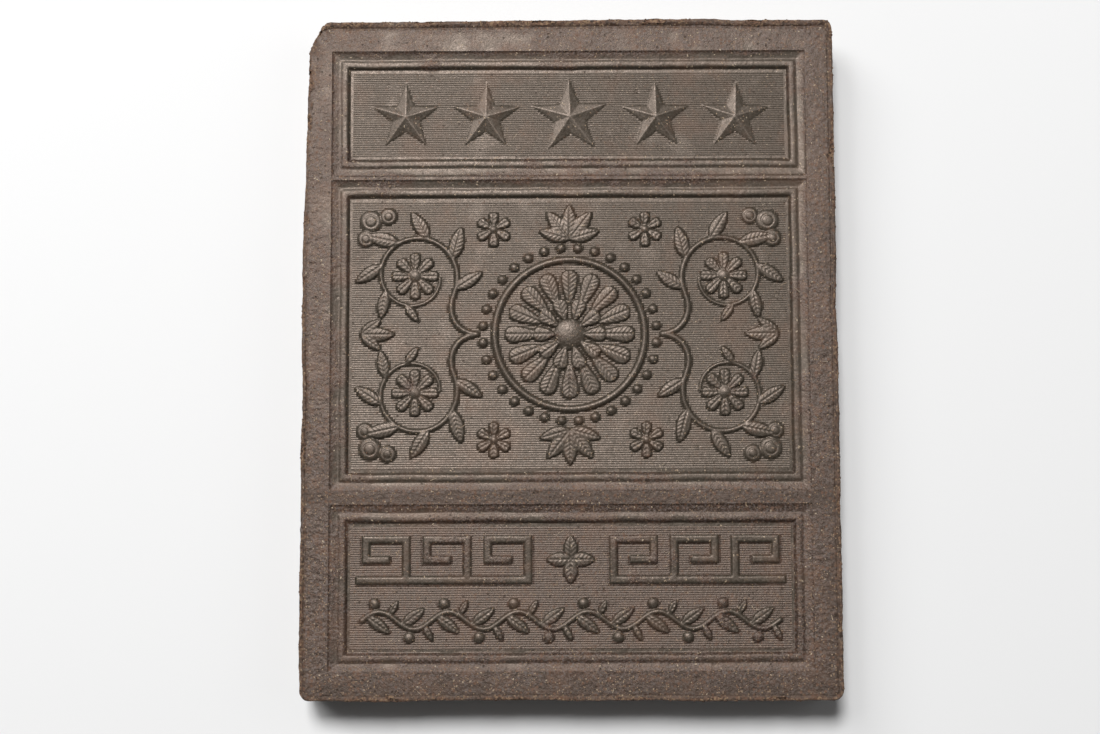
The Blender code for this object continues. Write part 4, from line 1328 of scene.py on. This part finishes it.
@functools.lru_cache(maxsize=1)
def ruling_tree():
    """Level ribs laid on a sunk ground, which fade in patches and stop short of the ornament."""
    nodes, given = new_tree("ruled_ground", (
        ("Skin", "Collection", None), ("Width", "Float", 0.15), ("Height", "Float", 0.03),
        ("Middle", "Float", 0.0), ("Pitch", "Float", 0.0008), ("Rib Width", "Float", 0.0005),
        ("Rib Height", "Float", 0.0001), ("Lean", "Float", 0.0001), ("Segment", "Float", 0.001),
        ("Fading", "Float", 0.7), ("Level", "Float", 0.02), ("Polish", "Float", 0.9),
        ("Seed", "Float", 0.0), ("Material", "Material", None)))
    along = nodes.math("ROUND", given["Width"] / given["Segment"])
    rib = nodes.add("GeometryNodeMeshGrid", {"Size X": given["Width"], "Size Y": given["Rib Width"],
                                             "Vertices X": along, "Vertices Y": 3})
    place = nodes.add("GeometryNodeInputPosition")
    apart = nodes.add("ShaderNodeSeparateXYZ", {"Vector": place})
    inner = nodes.math("ABSOLUTE", apart.also("Y")) < given["Rib Width"] * 0.25
    crest = store(nodes, rib, "crest", inner)
    count = nodes.math("FLOOR", given["Height"] / given["Pitch"])
    start = combine(nodes, y=given["Middle"] - (count - 1.0) * given["Pitch"] * 0.5,
                    z=given["Level"])
    lines = nodes.add("GeometryNodeMeshLine", {
        "Count": count, "Start Location": start, "Offset": combine(nodes, y=given["Pitch"])})
    laid = nodes.add("GeometryNodeInstanceOnPoints", {"Points": lines, "Instance": crest})
    laid = nodes.add("GeometryNodeRealizeInstances", {"Geometry": laid})

    above = nodes.add("ShaderNodeVectorMath", {0: place, 1: (0.0, 0.0, 0.01)}, operation="ADD")
    hit = nodes.add("GeometryNodeRaycast", {
        "Target Geometry": skin_geometry(nodes, given), "Attribute": named(nodes, "bare"),
        "Source Position": above, "Ray Direction": (0.0, 0.0, -1.0), "Ray Length": 0.05},
        data_type="FLOAT")
    level = nodes.add("ShaderNodeSeparateXYZ", {"Vector": hit.also("Hit Position")}).also("Z")
    clear = nodes.ramp(hit.also("Attribute"), 0.3, 0.9)
    worn = nodes.add("ShaderNodeTexNoise", {"Vector": place, "W": given["Seed"], "Scale": 85.0,
                                            "Detail": 2.0}, noise_dimensions="4D")
    keep = 1 - nodes.ramp(worn, 0.54, 0.7) * given["Fading"]
    lift = named(nodes, "crest")
    top = level + lift * keep * clear * given["Rib Height"] - (1 - lift * clear) * RIB_SUNK
    shake = nodes.add("ShaderNodeTexNoise", {"Vector": place, "Scale": 60.0, "Detail": 1.0})
    sideways = apart.also("Y") + (shake - 0.5) * RIB_SHAKE - lift * given["Lean"]
    ribs = nodes.add("GeometryNodeSetPosition", {
        "Geometry": laid, "Position": combine(nodes, apart, sideways, top)})
    ribs = nodes.add("GeometryNodeDeleteGeometry", {
        "Geometry": ribs, "Selection": clear < 0.05}, domain="FACE")
    return finish_tree(nodes, store(nodes, ribs, "polish", given["Polish"]), given["Material"])


def spots_on_skin(nodes, given, trait, least, most):
    """Random spots where the skin's trait is strong, and a way to draw a number for each."""
    weight = nodes.ramp(named(nodes, trait), least, most)
    spots = nodes.add("GeometryNodeDistributePointsOnFaces", {
        "Mesh": skin_geometry(nodes, given), "Density": given["Density"] * weight,
        "Seed": given["Seed"]})

    def draw(low, high, shift):
        return nodes.add("FunctionNodeRandomValue", {
            "Min": low, "Max": high, "Seed": given["Seed"] + shift}, output="Value",
            data_type="FLOAT")

    return spots, draw


def lay(nodes, spots, draw, piece, shape):
    """The piece on every spot at its own size, spun in the skin, and with a tone of its own."""
    spin = nodes.add("FunctionNodeAxisAngleToRotation", {"Angle": draw(0.0, math.tau, 3.0)})
    turned = nodes.add("FunctionNodeRotateRotation", {
        "Rotation": spots.also("Rotation"), "Rotate By": spin}, rotation_space="LOCAL")
    laid = nodes.add("GeometryNodeInstanceOnPoints", {
        "Points": spots, "Instance": piece, "Rotation": turned, "Scale": shape})
    return store(nodes, laid, "tone", draw(0.0, 1.0, 4.0), "INSTANCE")


@functools.lru_cache(maxsize=1)
def scatter_tree():
    """Grains scattered over the skin, half sunk in it, each with a tone of its own."""
    nodes, given = new_tree("scattered_grains", (
        ("Skin", "Collection", None), ("Density", "Float", 1.0), ("Trait", "String", "bare"),
        ("Least", "Float", 0.0), ("Size", "Float", 0.0003), ("Spread", "Float", 0.5),
        ("Flatness", "Float", 0.3), ("Stretch", "Float", 1.5), ("Depth", "Float", 0.2),
        ("Corners", "Int", 6), ("Rings", "Int", 2),
        ("Seed", "Int", 0), ("Material", "Material", None)))
    spots, draw = spots_on_skin(nodes, given, given["Trait"], given["Least"],
                                given["Least"] + 0.5)
    grain = nodes.add("GeometryNodeMeshUVSphere", {"Radius": 1.0, "Segments": given["Corners"],
                                                   "Rings": given["Rings"]})
    size = given["Size"] * (1 + draw(-1.0, 1.0, 1.0) * given["Spread"])
    shape = combine(nodes, size * (1 + draw(0.0, 1.0, 2.0) * given["Stretch"]), size,
                    size * given["Flatness"])
    sunk = nodes.add("GeometryNodeTranslateInstances", {
        "Instances": lay(nodes, spots, draw, grain, shape),
        "Translation": combine(nodes, z=size * given["Flatness"] * given["Depth"] * -1.0)})
    return finish_tree(nodes, sunk, given["Material"])


@functools.lru_cache(maxsize=1)
def stalk_tree():
    """Thin bits of stalk that lie in the skin, each a little bent."""
    nodes, given = new_tree("scattered_stalks", (
        ("Skin", "Collection", None), ("Density", "Float", 1.0), ("Length", "Float", 0.002),
        ("Thickness", "Float", 0.0001), ("Seed", "Int", 0), ("Material", "Material", None)))
    spots, draw = spots_on_skin(nodes, given, "polish", 0.2, 0.5)
    stick = nodes.add("GeometryNodeMeshCylinder", {
        "Vertices": 5, "Side Segments": 5, "Radius": 1.0, "Depth": 1.0})
    stick = nodes.add("GeometryNodeTransform", {"Geometry": stick,
                                                "Rotation": (0.0, math.pi / 2, 0.0)})
    thick = given["Thickness"] * draw(0.6, 1.4, 1.0)
    shape = combine(nodes, given["Length"] * draw(0.4, 1.6, 2.0), thick, thick * 0.7)
    laid = lay(nodes, spots, draw, stick, shape)
    real = nodes.add("GeometryNodeRealizeInstances", {"Geometry": laid})
    bend = nodes.add("ShaderNodeTexNoise", {"Scale": 650.0, "Detail": 0.0}, output="Color")
    bend = nodes.add("ShaderNodeVectorMath", {0: bend, 1: (0.5, 0.5, 0.5)}, operation="SUBTRACT")
    bend = nodes.add("ShaderNodeVectorMath", {0: bend, 1: STALK_BEND}, operation="MULTIPLY")
    bent = nodes.add("GeometryNodeSetPosition", {"Geometry": real, "Offset": bend})
    return finish_tree(nodes, bent, given["Material"])


# ---------------------------------------------------------------- operators
class TEA_OT_border(bpy.types.Operator):
    """Build the border, its ragged fin and the worn edge"""

    bl_idname = "tea.border"
    bl_label = "Border and edge"

    def execute(self, context):
        border_sheet()
        return {"FINISHED"}


class TEA_OT_sides(bpy.types.Operator):
    """Build the four sides and the scored back"""

    bl_idname = "tea.sides"
    bl_label = "Sides and back"

    def execute(self, context):
        side_sheet()
        back_sheet()
        return {"FINISHED"}


class TEA_OT_mouldings(bpy.types.Operator):
    """Build the mouldings round the panels, and the flat rails between them"""

    bl_idname = "tea.mouldings"
    bl_label = "Mouldings and rails"

    def execute(self, context):
        wide = settings("tea_face").moulding
        face_sheet("face_mouldings", lambda inset, x, y: (inset > 0) & (inset < wide))
        face_sheet("face_rails", lambda inset, x, y: inset <= 0)
        return {"FINISHED"}


class TEA_OT_panels(bpy.types.Operator):
    """Build the sunk panels with their stars, leaves and key pattern"""

    bl_idname = "tea.panels"
    bl_label = "Panels"

    def execute(self, context):
        wide = settings("tea_face").moulding
        for name, bottom, top in panels():
            for half, side in (("left", -1), ("right", 1)):
                face_sheet(f"{name}_panel_{half}", lambda inset, x, y, low=bottom, high=top:
                           (inset >= wide) & (y > low) & (y < high) & (x * side > 0))
        return {"FINISHED"}


class TEA_OT_ruling(bpy.types.Operator):
    """Rule the grounds of the panels with fine level ribs"""

    bl_idname = "tea.ruling"
    bl_label = "Ruled grounds"

    def execute(self, context):
        plan, rule = settings("tea_face"), settings("tea_ruling")
        half = HALF_X - plan.border_side - plan.moulding
        for number, (name, bottom, top) in enumerate(panels()):
            grow(f"{name}_ruling", ruling_tree(), {
                "Skin": skin_collection(),
                "Width": 2 * (half - rule.margin),
                "Height": top - bottom - 2 * rule.margin,
                "Middle": (bottom + top) / 2,
                "Pitch": rule.pitch,
                "Rib Width": rule.width,
                "Rib Height": rule.height,
                "Lean": rule.lean,
                "Segment": rule.segment,
                "Fading": rule.fading,
                "Polish": rule.lower_polish if name == "lower" else rule.polish,
                "Level": TOP,
                "Seed": float(rule.seed + number),
                "Material": pressed_tea(),
            })
        return {"FINISHED"}


class TEA_OT_flecks(bpy.types.Operator):
    """Scatter pale and rusty flecks of tea over the skin"""

    bl_idname = "tea.flecks"
    bl_label = "Flecks"

    def execute(self, context):
        look, specks = settings("tea_finish"), settings("tea_specks")
        stops = ((0.0, look.rust), (0.4, look.tan), (0.95, look.cream))
        scatter("tea_flecks", scatter_tree(), specks.flecks, 0, stops, 0.55, {
            "Trait": "polish", "Least": 0.1, "Size": specks.fleck_size, "Spread": 0.55,
            "Stretch": 1.3, "Flatness": 0.22, "Depth": 0.45, "Corners": 6, "Rings": 2})
        return {"FINISHED"}


class TEA_OT_stalks(bpy.types.Operator):
    """Scatter thin pale bits of stalk over the skin"""

    bl_idname = "tea.stalks"
    bl_label = "Stalks"

    def execute(self, context):
        look, specks = settings("tea_finish"), settings("tea_specks")
        stops = ((0.0, look.rust), (0.5, look.tan), (0.95, look.cream))
        scatter("tea_stalks", stalk_tree(), specks.stalks, 20, stops, 0.5, {
            "Length": specks.stalk_length, "Thickness": STALK_THICKNESS})
        return {"FINISHED"}


class TEA_OT_crumbs(bpy.types.Operator):
    """Lay loose crumbs along the broken edges"""

    bl_idname = "tea.crumbs"
    bl_label = "Crumbs"

    def execute(self, context):
        look, specks = settings("tea_finish"), settings("tea_specks")
        stops = ((0.0, look.deep_and_shade), (0.3, look.rust), (0.6, look.broken), (0.9, look.tan))
        scatter("tea_crumbs", scatter_tree(), specks.crumbs, 40, stops, 0.7, {
            "Trait": "broken", "Least": 0.4, "Size": specks.crumb_size, "Spread": 0.6,
            "Stretch": 0.6, "Flatness": 0.7, "Depth": 0.3, "Corners": 5, "Rings": 3})
        return {"FINISHED"}


def add_softbox(name, power, size, distance, lean, turn):
    """An area light that leans from straight above and is turned from the top of the face."""
    lean, turn = math.radians(lean), math.radians(turn)
    lamp = bpy.data.lights.new(name, "AREA")
    lamp.shape = "RECTANGLE"
    lamp.size, lamp.size_y = size
    lamp.energy = power
    item = bpy.data.objects.new(name, lamp)
    way = Vector((math.sin(turn) * math.sin(lean), math.cos(turn) * math.sin(lean),
                  math.cos(lean)))
    item.location = way * distance
    item.rotation_euler = way.to_track_quat("Z", "Y").to_euler()
    bpy.context.scene.collection.objects.link(item)


class TEA_OT_stage(bpy.types.Operator):
    """Set up the pale floor, the soft lights and the camera"""

    bl_idname = "tea.stage"
    bl_label = "Stage"

    def execute(self, context):
        look = settings("tea_stage")
        scene = context.scene
        bpy.ops.mesh.primitive_plane_add(size=FLOOR_SIZE, location=(0.0, 0.0, -FLOOR_GAP))
        floor = context.object
        floor.name = "floor"
        material, nodes, shader, _ = new_material("floor")
        feed(nodes, shader, Base_Color=(*look.floor, 1.0), Roughness=0.8)
        floor.data.materials.append(material)

        for name, box in SOFTBOXES.items():
            add_softbox(name, getattr(look, name), *box)
        world = bpy.data.worlds.new("soft_sky")
        scene.world = world
        world.use_nodes = True
        sky = world.node_tree.nodes["Background"]
        sky.inputs["Color"].default_value = (1.0, 1.0, 1.0, 1.0)
        sky.inputs["Strength"].default_value = look.sky

        camera = bpy.data.cameras.new("camera")
        camera.lens = look.lens
        camera.sensor_width = SENSOR
        camera.clip_start = 0.01
        seen = bpy.data.objects.new("camera", camera)
        back = Vector((0.0, -math.sin(look.tilt), math.cos(look.tilt)))
        seen.location = Vector(AIM) + back * look.distance
        turn = Matrix.Rotation(look.tilt, 4, "X") @ Matrix.Rotation(-look.roll, 4, "Z")
        seen.rotation_euler = turn.to_euler()
        scene.collection.objects.link(seen)
        scene.camera = seen
        scene.view_settings.view_transform = "Standard"
        return {"FINISHED"}


class TEA_PT_brick(bpy.types.Panel):
    """The brick's pieces, each built by one button"""

    bl_idname = "TEA_PT_brick"
    bl_label = "Tea brick"
    bl_space_type = "VIEW_3D"
    bl_region_type = "UI"
    bl_category = "Tea brick"

    def draw(self, context):
        for step in STEPS:
            self.layout.operator(step.bl_idname)
        for group in GROUPS:
            box = self.layout.box()
            for field in group.__annotations__:
                box.prop(settings(GROUPS[group]), field)


STEPS = (TEA_OT_panels, TEA_OT_mouldings, TEA_OT_border, TEA_OT_sides, TEA_OT_ruling,
         TEA_OT_flecks, TEA_OT_stalks, TEA_OT_crumbs, TEA_OT_stage)
GROUPS = {FacePlan: "tea_face", Ruling: "tea_ruling", Specks: "tea_specks",
          TeaFinish: "tea_finish", StageLook: "tea_stage"}


def register():
    for group, name in GROUPS.items():
        bpy.utils.register_class(group)
        setattr(bpy.types.Scene, name, PointerProperty(type=group))
    for kind in (*STEPS, TEA_PT_brick):
        bpy.utils.register_class(kind)


def unregister():
    for kind in reversed((*STEPS, TEA_PT_brick)):
        bpy.utils.unregister_class(kind)
    for group, name in GROUPS.items():
        delattr(bpy.types.Scene, name)
        bpy.utils.unregister_class(group)


def main():
    register()
    for step in STEPS:
        group, name = step.bl_idname.split(".")
        getattr(getattr(bpy.ops, group), name)()


if __name__ == "__main__":
    main()
